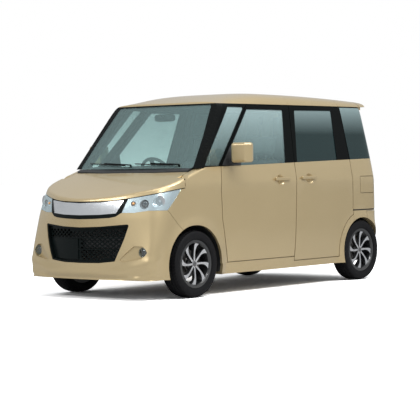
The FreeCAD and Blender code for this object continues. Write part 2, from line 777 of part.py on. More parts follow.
def main_solid(shape):
    """The largest solid of a shape, without slivers."""
    return max(shape.Solids, key=lambda s: s.Volume)


def large_solids(shape, least):
    return [s for s in shape.Solids if s.Volume > least]


def headlamp(block):
    """Left headlamp: a clear skin over a housing with three round reflector bowls."""
    lens = block.cut(nose_volume(LENS_THICKNESS))
    housing = block.common(nose_volume(LENS_THICKNESS + SEAM))
    aim = Vector(0.3, -0.95, 0)
    for x, y, z, radius in LAMP_BOWLS:
        foot = Vector(x, y, z) - aim * 36.0
        housing = housing.cut(Part.makeCone(radius * 0.55, radius * 1.5, 90.0, foot, aim))
    return main_solid(lens), main_solid(housing)


def upper_grille(block):
    """Grooved bright bar between the headlamps, and the dark surround that holds it."""
    points = mirrored_outline(CHROME_TOP, CHROME_BOTTOM)
    zone = front_prism(points, -1800.0, -1400.0, 6.0)
    wide = front_prism(inset_outline(points, -SEAM), -1800.0, -1400.0, 6.0)
    skin = nose_volume(1.0)
    bar = skin.cut(nose_volume(CHROME_THICKNESS)).common(zone)
    low = CHROME_BOTTOM[-1][1]
    strips = []
    for i in range(8):
        z = low + GROOVE_PITCH * (i + 1)
        strips.append(box(-500.0, 500.0, -1800.0, -1400.0, z, z + GROOVE_HEIGHT))
    grooves = Part.makeCompound(strips).cut(nose_volume(4.5))
    surround = block.cut(wide.cut(nose_volume(CHROME_THICKNESS + SEAM)))
    return main_solid(bar.cut(grooves)), main_solid(surround)


def lower_grille(points):
    """Black intake: a deep border, a diamond mesh bent to the nose, two bars, a blank plate."""
    front, back = GRILLE_FRAME
    inner = inset_outline(points, GRILLE_BORDER)
    border = front_prism(points, -1800.0, -1500.0, 14.0).cut(front_prism(inner, -1800.0, -1500.0))
    border = border.common(nose_volume(front)).cut(nose_volume(back))
    centre = MESH_STATION + MESH_RADIUS

    def sheet(ahead, thickness):
        drums = [Part.makeCylinder(MESH_RADIUS + ahead - depth, 500.0, Vector(0, centre, 200.0))
                 for depth in (0.0, thickness)]
        return drums[0].cut(drums[1])

    mesh = sheet(0.0, MESH_THICKNESS).common(front_prism(inset_outline(points, 2.0), -1800.0,
                                                         -1500.0))
    half_x = MESH_PITCH[0] / 2
    half_z = MESH_PITCH[1] / 2
    hole_x = half_x - MESH_WIRE * 0.85
    hole_z = half_z - MESH_WIRE * 0.6
    x0, x1, z0, z1 = BLANK_PLATE
    window = front_prism(inset_outline(points, GRILLE_BORDER + half_z), -1800.0, -1500.0)
    holes = []
    for i in range(-20, 21):
        for j in range(-9, 10):
            x, z = i * half_x, 466.0 + j * half_z
            behind_plate = x0 - hole_x < x < x1 + hole_x and z0 - hole_z < z < z1 + hole_z
            on_bar = min(abs(z - bar) for bar in GRILLE_BARS) < 3.0
            if (i + j) % 2 or behind_plate or on_bar:
                continue
            if window.isInside(Vector(x, -1600.0, z), 0.01, False):
                holes.append(front_prism([(x - hole_x, z), (x, z - hole_z), (x + hole_x, z),
                                          (x, z + hole_z)], -1720.0, -1520.0))
    mesh = mesh.cut(Part.makeCompound(holes))
    bars = [box(-520.0, 520.0, -1800.0, -1500.0, z - 4.0, z + 4.0) for z in GRILLE_BARS]
    plate = box(x0, x1, -1800.0, -1500.0, z0, z1)
    raised = Part.makeCompound(bars[:1]).fuse(bars[1:] + [plate])
    raised = raised.common(sheet(8.0, 12.0)).common(front_prism(inset_outline(points, 2.0),
                                                                -1800.0, -1500.0))
    return main_solid(border.fuse([mesh, raised]))


def fog_hole(radius):
    return Part.makeCylinder(radius, 300.0, Vector(FOG_LAMP[0], -1750.0, FOG_LAMP[1]),
                             Vector(0, 1, 0))


def front_bumper(skin):
    """Bumper skin with a wedge-shaped recess at each side, open at its outer end for a lamp."""
    pod = front_prism(inset_outline(FOG_WEDGE, -10.0), -1750.0, -1450.0, 12.0)
    pod = pod.common(nose_volume(FOG_POD[0])).cut(nose_volume(FOG_POD[1]))
    recess = front_prism(FOG_WEDGE, -1750.0, -1450.0, 14.0)
    ahead = [(FOG_FLOOR[0][0], -1760.0)] + FOG_FLOOR + [(FOG_FLOOR[-1][0], -1760.0)]
    recess = recess.common(plan_prism(ahead, 250.0, 500.0))
    hole = fog_hole(FOG_RADIUS + SEAM)
    skin = skin.fuse([pod, mirrored(pod)])
    return main_solid(skin.cut([recess, mirrored(recess), hole, mirrored(hole)]))


def fog_lamp():
    """Round lamp: a bright ring with a domed lens set back in it."""
    back = Vector(FOG_LAMP[0], FOG_FACE, FOG_LAMP[1])
    body = Part.makeCylinder(FOG_RADIUS, 46.0, back, Vector(0, 1, 0))
    ring_edge = [e for e in body.Edges if abs(e.CenterOfMass.y - FOG_FACE) < 0.1]
    body = body.makeFillet(5.0, ring_edge)
    body = body.cut(Part.makeCone(FOG_RADIUS - 7.0, FOG_RADIUS - 12.0, 16.0, back, Vector(0, 1, 0)))
    dome = Part.makeSphere(60.0, back + Vector(0, 66.0, 0))
    dome = dome.common(Part.makeCylinder(FOG_RADIUS - 9.0, 30.0, back, Vector(0, 1, 0)))
    return body.fuse(dome)


nodes = {}


def add(name, shapes):
    """Keep one node; several solids are held together as they are."""
    parts = shapes if isinstance(shapes, list) else [shapes]
    solids = [s for p in parts for s in p.Solids]
    nodes[name] = Part.makeCompound(solids) if len(solids) > 1 else solids[0]


def both_sides(name, shape):
    add(name + "_left", shape)
    add(name + "_right", mirrored(shape))


def glass_outline(margin):
    """Windscreen opening as (x, z) points; a margin widens it."""
    points = []
    for z in (SCREEN_FOOT - margin, 1340.0, HEADER_HEIGHT + margin):
        edge = flank_x(screen_y(640.0, z) + 30.0, z) - PILLAR_WIDTH + margin
        points.append((edge, z))
    return [(-x, z) for x, z in points] + list(reversed(points))


def build_roof():
    """Roof panel with its body-coloured side band, open below."""
    top = roof_volume(0.0, -880.0, 1700.0).common(box(-800.0, 800.0, -1000.0, 1800.0,
                                                      BAND_HEIGHT, 1800.0))
    shell = top.cut(roof_volume(ROOF_SKIN, -900.0, 1760.0))
    front = shell.common(box(-800.0, 800.0, -1000.0, ROOF_END, 1500.0, 1800.0))
    front = front.common(screen_slab(0.0, 2700.0))
    for y in ROOF_JOINTS:
        ring = roof_volume(0.0, y - 40.0, y + 40.0).cut(roof_volume(2.0, y - 60.0, y + 60.0))
        groove = box(480.0, 800.0, y - 2.0, y + 2.0, BAND_HEIGHT, 1705.0).common(ring)
        front = front.cut(groove).cut(mirrored(groove))
    plan = [(-660.0, ROOF_END + APERTURE_GAP), (660.0, ROOF_END + APERTURE_GAP),
            (660.0, 1590.0), (545.0, 1676.0), (-545.0, 1676.0), (-660.0, 1590.0)]
    cap = top.common(plan_prism(plan, 1500.0, 1800.0, 60.0))
    return main_solid(front), main_solid(cap)


ROOF_END = 1558.0
ROOF_JOINTS = (407.0, 1196.0)
TAILGATE = [(-585.0, 652.0), (585.0, 652.0), (602.0, 1080.0), (556.0, 1621.0), (-556.0, 1621.0),
            (-602.0, 1080.0)]
TAIL_WINDOW = [(-535.0, 1130.0), (535.0, 1130.0), (498.0, 1560.0), (-498.0, 1560.0)]
BUMPER_TOP = 646.0
BUMPER_FRONT = 1440.0
RAIL_HEIGHT = 657.0
RAIL_WIDTH = 12.0
RAIL_DEPTH = 9.0
TAIL_LAMP = (664.0, 1076.0)
LAMP_FRONT = 1640.0
FUEL_LID = (1345.0, 1568.0, 816.0, 968.0)
LID_GAP = 5.0
LID_THICKNESS = 6.0
POCKET_DEPTH = 45.0


def build_tail(cap):
    """Quarter panels, tailgate, glass, lamps and bumper from one tail shape."""
    filled = tail_volume(0.0)
    shell = filled.cut(tail_volume(TAIL_WALL))
    gate_zone = front_prism(TAILGATE, 1500.0, 1800.0, 30.0)
    wide = [(x + math.copysign(SHUT_GAP, x), z) for x, z in TAILGATE]
    wide[0] = (wide[0][0], wide[0][1] - SHUT_GAP)
    wide[1] = (wide[1][0], wide[1][1] - SHUT_GAP)
    wide[3:5] = [(wide[3][0], 1660.0), (wide[4][0], 1660.0)]
    gate_gap = front_prism(wide, 1500.0, 1800.0, 34.0)
    window = front_prism(TAIL_WINDOW, 1500.0, 1800.0, 40.0)
    gate = shell.common(gate_zone)
    hood = cap.cut(box(-800.0, 800.0, 1500.0, 1800.0, 1500.0, BAND_HEIGHT + 2.0))
    bridge = box(-540.0, 540.0, 1582.0, 1626.0, 1600.0, 1650.0)
    gate = gate.fuse([bridge, hood]).cut(window)
    glass_wall = tail_volume(GLASS_DEPTH).cut(tail_volume(GLASS_DEPTH + GLASS_THICKNESS))
    glass = glass_wall.common(window)

    left = shell.common(box(0.0, 900.0, 1150.0, 1800.0, 100.0, 1700.0)).cut(gate_gap)
    lamp_zone = box(560.0, 900.0, LAMP_FRONT, 1800.0, TAIL_LAMP[0], TAIL_LAMP[1])
    lamp = left.common(lamp_zone)
    left = left.cut(box(560.0, 900.0, LAMP_FRONT - LAMP_GAP, 1800.0, TAIL_LAMP[0] - LAMP_GAP,
                        TAIL_LAMP[1] + LAMP_GAP))
    wheel = arch_cut(REAR_AXLE, REAR_ARCH, -900.0, 900.0)
    bumper_zone = box(-900.0, 900.0, BUMPER_FRONT, 1800.0, 212.0, BUMPER_TOP - PANEL_GAP)
    bumper = shell.common(bumper_zone).cut(wheel)
    edge = SHUT_GAP / 2
    zone = [(1211.0 + SHUT_GAP, 500.0), (1213.0 + SHUT_GAP, belt(1213.0)),
            (1196.0 + SHUT_GAP, DOOR_TOP + edge), (1760.0, DOOR_TOP + edge),
            (1760.0, BUMPER_TOP), (BUMPER_FRONT - PANEL_GAP, BUMPER_TOP),
            (BUMPER_FRONT - PANEL_GAP, 500.0)]
    quarter = left.common(side_prism(zone, 300.0, 900.0)).cut(wheel)
    opening = side_prism(QUARTER_OPENING, 300.0, 900.0, 30.0)
    flush = left.cut(tail_volume(GLASS_DEPTH + 1.0)).common(side_prism(QUARTER_WINDOW, 300.0, 900.0))
    pane = flush.cut(quarter.cut(flush))
    quarter = quarter.cut(side_prism(QUARTER_WINDOW, 300.0, 900.0).cut(tail_volume(GLASS_DEPTH + 1.0)))
    quarter = quarter.cut(opening)
    groove = side_prism([(1190.0, RAIL_HEIGHT - RAIL_WIDTH / 2), (1640.0, RAIL_HEIGHT - RAIL_WIDTH / 2),
                         (1640.0, RAIL_HEIGHT + RAIL_WIDTH / 2),
                         (1190.0, RAIL_HEIGHT + RAIL_WIDTH / 2)], 500.0, 900.0)
    quarter = quarter.cut(groove.cut(tail_volume(RAIL_DEPTH)))
    y0, y1, z0, z1 = FUEL_LID
    pocket = side_prism([(y0 - LID_GAP, z0 - LID_GAP), (y1 + LID_GAP, z0 - LID_GAP),
                         (y1 + LID_GAP, z1 + LID_GAP), (y0 - LID_GAP, z1 + LID_GAP)],
                        600.0, 900.0, 16.0)
    skin = left.cut(tail_volume(LID_THICKNESS))
    lid = skin.common(side_prism([(y0, z0), (y1, z0), (y1, z1), (y0, z1)], 600.0, 900.0, 12.0))
    middle = (z0 + z1) / 2
    lug = box(696.0, 712.0, y0 - LID_GAP + SEAM, y0 + 12.0, middle - 22.0, middle + 22.0)
    lug = lug.fuse(box(700.0, 722.0, y0 + 2.0, y0 + 12.0, middle - 22.0, middle + 22.0))
    lid = lid.fuse(lug.common(tail_volume(3.0)))
    pocket = pocket.cut(tail_volume(POCKET_DEPTH))
    return gate, glass, lamp, bumper, quarter, pane, lid, pocket


def build_side_frame(wing_room):
    """Left body side behind the doors: sill, pillars and roof rail in one pressing."""
    pillar_foot = (screen_y(640.0, 1074.0) + PILLAR_DEPTH - 30.0, 1074.0)
    pillar_head = (screen_y(560.0, 1614.0) + PILLAR_DEPTH - 30.0, 1614.0)
    whole = side_slab(-1000.0, 1240.0, 150.0, 1660.0, 0.0, FRAME_DEPTH)
    zone = [(-736.0, SILL_BOTTOM), (-736.0, 1010.0), (pillar_foot[0], 1056.0), pillar_foot,
            pillar_head, (pillar_head[0] + 10.0, BAND_HEIGHT), (1200.0, BAND_HEIGHT),
            (1216.0, belt(1213.0)), (1216.0, 480.0), (1080.0, SILL_BOTTOM)]
    frame = whole.common(side_prism(zone, 300.0, 900.0))
    waste = side_slab(-1000.0, 1280.0, 120.0, 1660.0, -30.0, REBATE)
    for points, arch in ((FRONT_DOOR, 0.0), (REAR_DOOR, DOOR_ARCH)):
        shut = side_prism(inset_outline(points, -SHUT_GAP), 300.0, 900.0)
        deep = side_prism(inset_outline(points, FLANGE_WIDTH - APERTURE_GAP), 300.0, 900.0)
        if arch:
            shut = shut.cut(arch_cut(REAR_AXLE, arch - SHUT_GAP, 300.0, 900.0))
            deep = deep.cut(arch_cut(REAR_AXLE, arch + FLANGE_WIDTH - APERTURE_GAP, 300.0, 900.0))
        frame = frame.cut(shared(waste, shut)).cut(deep)
    frame = frame.cut(wing_room)
    frame = frame.cut(side_prism(QUARTER_LIGHT, 300.0, 900.0, 10.0))
    frame = frame.cut(screen_slab(-300.0, PILLAR_DEPTH + SEAM))
    frame = frame.cut(arch_cut(FRONT_AXLE, FRONT_LINER + LINER + SEAM, 300.0, 900.0))
    return frame.cut(arch_cut(REAR_AXLE, REAR_ARCH, 300.0, 900.0))


def revolved(profile, x_axis_point):
    """Solid of revolution about a wheel's axle from (x, r) points."""
    points = [Vector(x, 0, r) for x, r in profile]
    wire = Part.Wire(Part.makePolygon(points + [points[0]]).Edges)
    solid = Part.Face(wire).revolve(Vector(0, 0, 0), Vector(1, 0, 0), 360.0)
    solid.translate(x_axis_point)
    return solid


def tyre(centre):
    """Tyre section: bead, bulging wall, shoulder and crowned tread with four grooves."""
    half = TYRE_WIDTH / 2
    seat = RIM_RADIUS
    radius = TYRE_RADIUS
    wall = seat + 0.55 * (radius - seat)

    def at(x, r):
        return Vector(x, 0, r)

    def arc(a, b, c):
        return Part.Arc(a, b, c).toShape()

    bead = at(64.8, seat)
    foot = at(64.8, seat + RIM_FLANGE + 1.0)
    wide = at(half, wall)
    shoulder = at(68.0, radius - 7.0)
    crown = at(0.0, radius)
    right = [Part.makeLine(bead, foot), arc(foot, at(79.5, wall - 22.0), wide),
             arc(wide, at(79.0, radius - 19.0), shoulder)]
    left = [e.mirror(Vector(0, 0, 0), Vector(1, 0, 0)) for e in right]
    tread = arc(shoulder, crown, at(-68.0, radius - 7.0))
    inner = Part.makeLine(bead, at(-64.8, seat))
    wire = Part.Wire(Part.__sortEdges__(right + left + [tread, inner]))
    solid = Part.Face(wire).revolve(Vector(0, 0, 0), Vector(1, 0, 0), 360.0)
    solid.translate(centre)
    return solid


SPOKE_FACE = 62.0
SPOKE_BACK = 18.0
HUB_RADIUS = 34.0
BARREL_WALL = 7.0


def rim(centre):
    """Alloy wheel: barrel, hub and swept spokes that flare where they meet the barrel."""
    seat = RIM_RADIUS - 0.4
    lip = RIM_RADIUS + RIM_FLANGE
    barrel = [(-65.5, seat), (-65.5, lip), (-71.0, lip), (-71.0, seat - 12.0),
              (-60.0, seat - 20.0), (60.0, seat - 20.0), (71.0, seat - 12.0), (71.0, lip),
              (65.5, lip), (65.5, seat)]
    ring = revolved(barrel, Vector(0, 0, 0))
    hub = revolved([(10.0, 0.0), (10.0, 62.0), (30.0, 62.0), (40.0, HUB_RADIUS),
                    (SPOKE_FACE - 6.0, HUB_RADIUS - 4.0), (SPOKE_FACE - 3.0, 0.0)], Vector(0, 0, 0))
    dish = revolved([(SPOKE_BACK, 20.0), (SPOKE_BACK + 22.0, seat - 16.0), (64.0, seat - 16.0),
                     (SPOKE_FACE - 2.0, 110.0), (SPOKE_FACE - 8.0, 20.0)], Vector(0, 0, 0))
    blades = []
    for i in range(SPOKE_COUNT):
        turn = 360.0 * i / SPOKE_COUNT
        blades.append(spoke_outline().extrude(Vector(90.0, 0, 0)))
        blades[-1].rotate(Vector(0, 0, 0), Vector(1, 0, 0), turn)
    spokes = [blade.common(dish) for blade in blades]
    wheel = ring.fuse([hub] + spokes)
    wheel.translate(centre)
    return wheel


def spoke_outline():
    """One swept spoke in the wheel's plane, pointing up, its tip bent backwards and flared."""
    def at(y, z):
        return Vector(0, y, z)

    tip = RIM_RADIUS - 15.0
    lead = curve([at(-9.0, 22.0), at(-11.0, 70.0), at(-10.0, 118.0), at(-7.0, 150.0), at(4.0, tip)])
    trail = curve([at(58.0, tip - 8.0), at(30.0, 150.0), at(10.0, 118.0), at(5.0, 70.0),
                   at(9.0, 22.0)])
    edges = [lead, Part.makeLine(at(4.0, tip), at(58.0, tip - 8.0)), trail,
             Part.makeLine(at(9.0, 22.0), at(-9.0, 22.0))]
    return Part.Face(Part.Wire(edges))


def rod(start, end, radius):
    along = end - start
    return Part.makeCylinder(radius, along.Length, start, along)


def soft_box(x0, x1, y0, y1, z0, z1, radius):
    block = box(x0, x1, y0, y1, z0, z1)
    return block.makeFillet(radius, block.Edges)


def wheel_well_left(axle, radius, inner, outer, lead=0.0):
    """Liner over one wheel: an arched strip with a wall on its inner side."""
    strip = arch_cut(axle, radius + LINER, inner, outer, lead)
    strip = strip.cut(arch_cut(axle, radius, inner - 1.0, outer + 1.0, lead))
    wall = arch_cut(axle, radius + LINER, inner - LINER, inner, lead)
    well = strip.fuse(wall)
    well = well.cut(box(0.0, 900.0, axle - 500.0, axle + 500.0, 0.0, WELL_FOOT))
    window = box(inner - 20.0, inner + 20.0, axle - WELL_WINDOW, axle + WELL_WINDOW, 0.0,
                 TYRE_RADIUS + WELL_WINDOW * 0.75)
    return well.cut(window)


def kingpin(z):
    """Point on the left steering axis at a height."""
    share = (z - KINGPIN_FOOT[1]) / (KINGPIN_TOP[1] - KINGPIN_FOOT[1])
    x = KINGPIN_FOOT[0] + (KINGPIN_TOP[0] - KINGPIN_FOOT[0]) * share
    return Vector(x, FRONT_AXLE, z)


def along_kingpin(z0, z1, radius):
    return rod(kingpin(z0), kingpin(z1), radius)


def floor_pan():
    """Floor from the bulkhead to the tail, with a step under the rear seat."""
    t = FLOOR_THICKNESS
    low, middle, high = FLOOR_HEIGHT, SEAT_FLOOR, LUGGAGE_FLOOR
    line = [(BULKHEAD, low - t), (FLOOR_STEP[0], low - t), (FLOOR_STEP[1], middle - t),
            (FLOOR_STEP[2], middle - t), (FLOOR_STEP[3], high - t), (1632.0, high - t),
            (1632.0, high), (FLOOR_STEP[3] - t, high), (FLOOR_STEP[2] - t, middle),
            (FLOOR_STEP[1] - t, middle), (FLOOR_STEP[0] - t, low), (BULKHEAD, low)]
    whole = side_prism(line, -720.0, 720.0)
    side = side_slab(-1000.0, 1240.0, 150.0, 1660.0, -60.0, FRAME_DEPTH + SEAM)
    front = whole.common(box(-720.0, 720.0, BULKHEAD, 1216.0, 0.0, 900.0))
    front = front.cut([side, mirrored(side)])
    rear = whole.common(box(-720.0, 720.0, 1216.0, 1632.0, 0.0, 900.0))
    rear = rear.common(tail_volume(TAIL_WALL + 1.0))
    floor = front.fuse(rear)
    for axle, reach, inner in ((FRONT_AXLE, FRONT_LINER, FRONT_WELL),
                               (REAR_AXLE, REAR_LINER, REAR_WELL)):
        well = arch_cut(axle, reach + LINER + SEAM, inner - LINER - SEAM, 900.0)
        floor = floor.cut([well, mirrored(well)])
    return floor


def bulkhead():
    """Wall between engine bay and cabin, cut round the front wheels."""
    wall = box(-720.0, 720.0, BULKHEAD - 25.0, BULKHEAD, FLOOR_HEIGHT - FLOOR_THICKNESS, 1003.5)
    wall = wall.common(nose_volume(SKIN + 2.0))
    well = arch_cut(FRONT_AXLE, FRONT_LINER + LINER + SEAM, FRONT_WELL - LINER - SEAM, 900.0)
    return wall.cut([well, mirrored(well)])


def front_structure():
    """Front rails, bumper beam, crossmember and strut towers, left half."""
    rail = box(RAIL_INNER, RAIL_OUTER, -1560.0, BULKHEAD - 25.0, 390.0, 460.0)
    beam = nose_volume(62.0).common(box(-560.0, 560.0, -1720.0, -1500.0, 430.0, 520.0))
    beam = beam.cut(nose_volume(92.0))
    rail = rail.common(nose_volume(91.0))
    cross = box(-RAIL_OUTER, RAIL_OUTER, FRONT_AXLE - 90.0, FRONT_AXLE + 120.0, 154.0, 180.0)
    posts = [box(RAIL_INNER, RAIL_OUTER, FRONT_AXLE + side, FRONT_AXLE + side + 50.0, 180.0, 390.0)
             for side in (-90.0, 70.0)]
    tower = along_kingpin(560.0, 800.0, 76.0).cut(along_kingpin(540.0, 794.0, 71.0))
    tower = tower.cut(arch_cut(FRONT_AXLE, FRONT_LINER + LINER, 0.0, 900.0, ARCH_LEAD))
    brace = box(RAIL_OUTER - 20.0, 470.0, FRONT_AXLE - 40.0, FRONT_AXLE + 40.0, 640.0, 660.0)
    brace = brace.fuse(box(RAIL_OUTER - 20.0, RAIL_OUTER, FRONT_AXLE - 40.0, FRONT_AXLE + 40.0,
                           460.0, 660.0))
    brace = brace.cut(along_kingpin(540.0, 810.0, 73.0))
    sides = [rail, tower, brace] + posts
    whole = beam.fuse([cross] + sides + [mirrored(s) for s in sides])
    arm = lower_arm()
    return [whole, arm, mirrored(arm)]


def lower_arm():
    """Left lower arm from the crossmember to the ball joint."""
    foot = KINGPIN_FOOT[0]
    plan = [(RAIL_OUTER, FRONT_AXLE - 50.0), (foot - 20.0, FRONT_AXLE - 20.0),
            (foot + 20.0, FRONT_AXLE - 20.0), (foot + 20.0, FRONT_AXLE + 20.0),
            (foot - 40.0, FRONT_AXLE + 24.0), (RAIL_OUTER, FRONT_AXLE + 110.0)]
    arm = plan_prism(plan, 156.0, 174.0, 14.0)
    return arm.cut(along_kingpin(140.0, 200.0, BALL_PIN + 0.5))


def knuckle_left():
    """Left front upright with strut, spring, constant-velocity joint and brake caliper."""
    hub = Vector(FRONT_TRACK / 2, FRONT_AXLE, TYRE_RADIUS)
    strut = along_kingpin(186.0, 600.0, STRUT_RADIUS)
    pin = along_kingpin(158.0, 190.0, BALL_PIN)
    piston = along_kingpin(590.0, 793.0, 11.0)
    coil = spring(142.0, 50.0, 6.0, 5)
    base = kingpin(604.0)
    turn = FreeCAD.Rotation(Vector(0, 0, 1), kingpin(800.0) - base)
    coil.Placement = FreeCAD.Placement(base, turn)
    seat = along_kingpin(596.0, 604.0, 58.0)
    head = along_kingpin(744.0, 750.0, 58.0)
    joint = Part.makeSphere(CV_RADIUS, kingpin(TYRE_RADIUS))
    carrier = Part.makeCylinder(42.0, 22.0, hub - Vector(65.0, 0, 0), Vector(1, 0, 0))
    bracket = box(hub.x - 60.0, hub.x - 44.0, hub.y + 20.0, hub.y + 92.0, hub.z - 24.0,
                  hub.z + 24.0)
    caliper = box(hub.x - 60.0, hub.x - 8.0, hub.y + 73.0, hub.y + 134.0, hub.z - 44.0,
                  hub.z + 44.0)
    caliper = caliper.cut(Part.makeCylinder(DISC_RADIUS + 2.0, 18.0, hub - Vector(42.5, 0, 0),
                                            Vector(1, 0, 0)))
    arm = rod(kingpin(232.0), Vector(hub.x - 75.0, hub.y + 118.0, 240.0), 11.0)
    body = strut.fuse([pin, piston, coil, seat, head, joint, carrier, bracket, caliper, arm])
    return body.cut(Part.makeCylinder(SPINDLE_RADIUS + 0.5, 70.0, hub - Vector(70.0, 0, 0),
                                      Vector(1, 0, 0)))


def spring(length, radius, wire, turns):
    """Bellows-shaped stand-in of a coil spring about +Z."""
    points = []
    for i in range(turns * 2 + 1):
        points.append(Vector(radius + (wire if i % 2 else -wire), 0, length * i / (turns * 2)))
    wall = Part.makePolygon([Vector(20.0, 0, 0)] + points + [Vector(20.0, 0, length),
                                                            Vector(20.0, 0, 0)])
    return Part.Face(Part.Wire(wall.Edges)).revolve(Vector(0, 0, 0), Vector(0, 0, 1), 360.0)


def brake_disc(centre):
    profile = [(-60.0, 0.0), (-60.0, SPINDLE_RADIUS), (-22.0, SPINDLE_RADIUS), (-22.0, 58.0),
               (-39.5, 58.0), (-39.5, DISC_RADIUS), (-27.5, DISC_RADIUS), (-27.5, 68.0),
               (4.0, 68.0), (9.8, 60.0), (9.8, 0.0)]
    return revolved(profile, centre)


def brake_drum(centre):
    profile = [(-54.0, 0.0), (-54.0, DRUM_RADIUS - 6.0), (-46.0, DRUM_RADIUS), (2.0, DRUM_RADIUS),
               (9.8, DRUM_RADIUS - 14.0), (9.8, 0.0)]
    return revolved(profile, centre)


def rear_axle():
    """Twist beam, trailing arms, springs and dampers behind the tank."""
    hub = Vector(REAR_TRACK / 2, REAR_AXLE, TYRE_RADIUS)
    beam = box(-ARM_STATION, ARM_STATION, 1130.0, 1190.0, 236.0, 290.0)
    beam = beam.cut(box(-430.0, 430.0, 1136.0, 1184.0, 230.0, 282.0))
    arm = side_prism([(870.0, 242.0), (870.0, 280.0), (1150.0, 292.0), (1420.0, 296.0),
                      (1420.0, 256.0), (1140.0, 236.0)], ARM_STATION - 20.0, ARM_STATION + 20.0, 8.0)
    bush = Part.makeCylinder(28.0, 70.0, Vector(ARM_STATION - 35.0, 880.0, 261.0), Vector(1, 0, 0))
    bracket = box(ARM_STATION - 45.0, ARM_STATION + 45.0, 850.0, 910.0, 261.0,
                  SEAT_FLOOR - FLOOR_THICKNESS)
    perch = Part.makeCylinder(52.0, 8.0, Vector(SPRING_STATION, 1310.0, 292.0))
    tongue = box(SPRING_STATION, ARM_STATION, 1280.0, 1340.0, 280.0, 300.0)
    coil = spring(LUGGAGE_FLOOR - FLOOR_THICKNESS - 300.0, 42.0, 6.0, 6)
    coil.translate(Vector(SPRING_STATION, 1310.0, 300.0))
    stub = Part.makeCylinder(30.0, hub.x - 58.0 - ARM_STATION, Vector(ARM_STATION, hub.y, hub.z),
                             Vector(1, 0, 0))
    plate = Part.makeCylinder(DRUM_RADIUS, 5.6, hub - Vector(60.0, 0, 0), Vector(1, 0, 0))
    stub = stub.fuse(plate)
    damper = rod(Vector(ARM_STATION - 40.0, 1400.0, 270.0), Vector(ARM_STATION - 62.0, 1452.0,
                                                                LUGGAGE_FLOOR - FLOOR_THICKNESS), 20.0)
    damper = damper.common(box(0.0, 800.0, 1300.0, 1600.0, 200.0, LUGGAGE_FLOOR - FLOOR_THICKNESS))
    lug = rod(Vector(ARM_STATION, 1400.0, 276.0), Vector(ARM_STATION - 60.0, 1400.0, 276.0), 14.0)
    half = [arm, bush, bracket, perch, tongue, coil, stub, damper, lug]
    return beam.fuse(half + [mirrored(s) for s in half])


def exhaust():
    """Downpipe, long pipe beside the tank, silencer and tailpipe."""
    path = [Vector(*p) for p in EXHAUST_PATH]
    pieces = [Part.makeSphere(EXHAUST_RADIUS, p) for p in path]
    for here, there in zip(path, path[1:]):
        pieces.append(rod(here, there, EXHAUST_RADIUS))
    silencer = soft_box(*SILENCER, 40.0)
    return silencer.fuse(pieces)


def seat_profile(cushion, back, x0, x1):
    base = side_prism(cushion, x0, x1, 30.0)
    rest = side_prism(back, x0 + 15.0, x1 - 15.0, 30.0)
    return base.fuse(rest)


def front_seat():
    """Left front seat: cushion, backrest and headrest."""
    seat = seat_profile([(-270.0, 470.0), (-275.0, 585.0), (-240.0, 612.0), (150.0, 580.0),
                         (215.0, 600.0), (225.0, 470.0)],
                        [(95.0, 560.0), (215.0, 540.0), (395.0, 1120.0), (370.0, 1150.0),
                         (305.0, 1140.0)], SEAT_INNER, SEAT_OUTER)
    middle = (SEAT_INNER + SEAT_OUTER) / 2
    posts = box(middle - 60.0, middle + 60.0, 336.0, 350.0, 1100.0, 1230.0)
    head = side_prism([(300.0, 1180.0), (322.0, 1345.0), (392.0, 1350.0), (402.0, 1170.0)],
                      middle - 130.0, middle + 130.0, 30.0)
    return seat.fuse([posts, head])


def rear_seat():
    """Bench with a full-width cushion and backrest and two headrests."""
    seat = seat_profile([(640.0, 480.0), (635.0, 590.0), (670.0, 612.0), (1030.0, 585.0),
                         (1065.0, 600.0), (1060.0, 480.0)],
                        [(985.0, 580.0), (1085.0, 560.0), (1215.0, 1110.0), (1190.0, 1135.0),
                         (1130.0, 1125.0)], -BENCH_HALF_WIDTH, BENCH_HALF_WIDTH)
    pieces = [seat]
    for x in (-300.0, 300.0):
        pieces.append(box(x - 60.0, x + 60.0, 1158.0, 1170.0, 1090.0, 1200.0))
        pieces.append(side_prism([(1125.0, 1160.0), (1145.0, 1300.0), (1205.0, 1305.0),
                                  (1215.0, 1150.0)], x - 125.0, x + 125.0, 28.0))
    return pieces[0].fuse(pieces[1:])


def seat_mounts():
    """Plinths that carry the seats on the floor."""
    front = box(SEAT_INNER + 40.0, SEAT_OUTER - 40.0, -230.0, 180.0, FLOOR_HEIGHT, 469.6)
    rear = box(60.0, 380.0, 700.0, 980.0, SEAT_FLOOR, 479.6)
    return [front, mirrored(front), rear, mirrored(rear)]


def dashboard():
    """Dashboard with a hooded top, a centre stack and the steering column's shroud."""
    line = [(-945.0, 1012.0), (-945.0, 1050.0), (-760.0, 1062.0), (-600.0, 1048.0), (-548.0, 1000.0),
            (-562.0, 880.0), (-640.0, 770.0), (-700.0, 655.0), (BULKHEAD + SEAM, 620.0),
            (BULKHEAD + SEAM, 1012.0)]
    board = side_prism(line, -DASH_HALF_WIDTH, DASH_HALF_WIDTH, 12.0)
    shelf = box(-680.0, 680.0, -945.0, -745.0, 1014.0, 1050.0)
    stack = side_prism([(BULKHEAD + 20.0, 560.0), (-640.0, 600.0), (-570.0, 880.0),
                        (-760.0, 900.0)], -120.0, 120.0, 14.0)
    board = board.fuse([shelf, stack])
    axis = steering_axis()
    centre = steering_centre()
    shroud = rod(centre - axis * 70.0, centre - axis * 330.0, 44.0)
    board = board.fuse(shroud)
    shaft_bore = rod(centre - axis * 40.0, centre - axis * 150.0, 12.5)
    frame = side_slab(-1000.0, -400.0, 900.0, 1200.0, -60.0, FRAME_DEPTH + SEAM)
    wall = box(-700.0, 700.0, BULKHEAD - 25.0, BULKHEAD + SEAM, 0.0, 1004.0)
    return board.cut([shaft_bore, frame, mirrored(frame), wall])


def steering_axis():
    tilt = math.radians(COLUMN_TILT)
    return Vector(0, math.cos(tilt), math.sin(tilt))


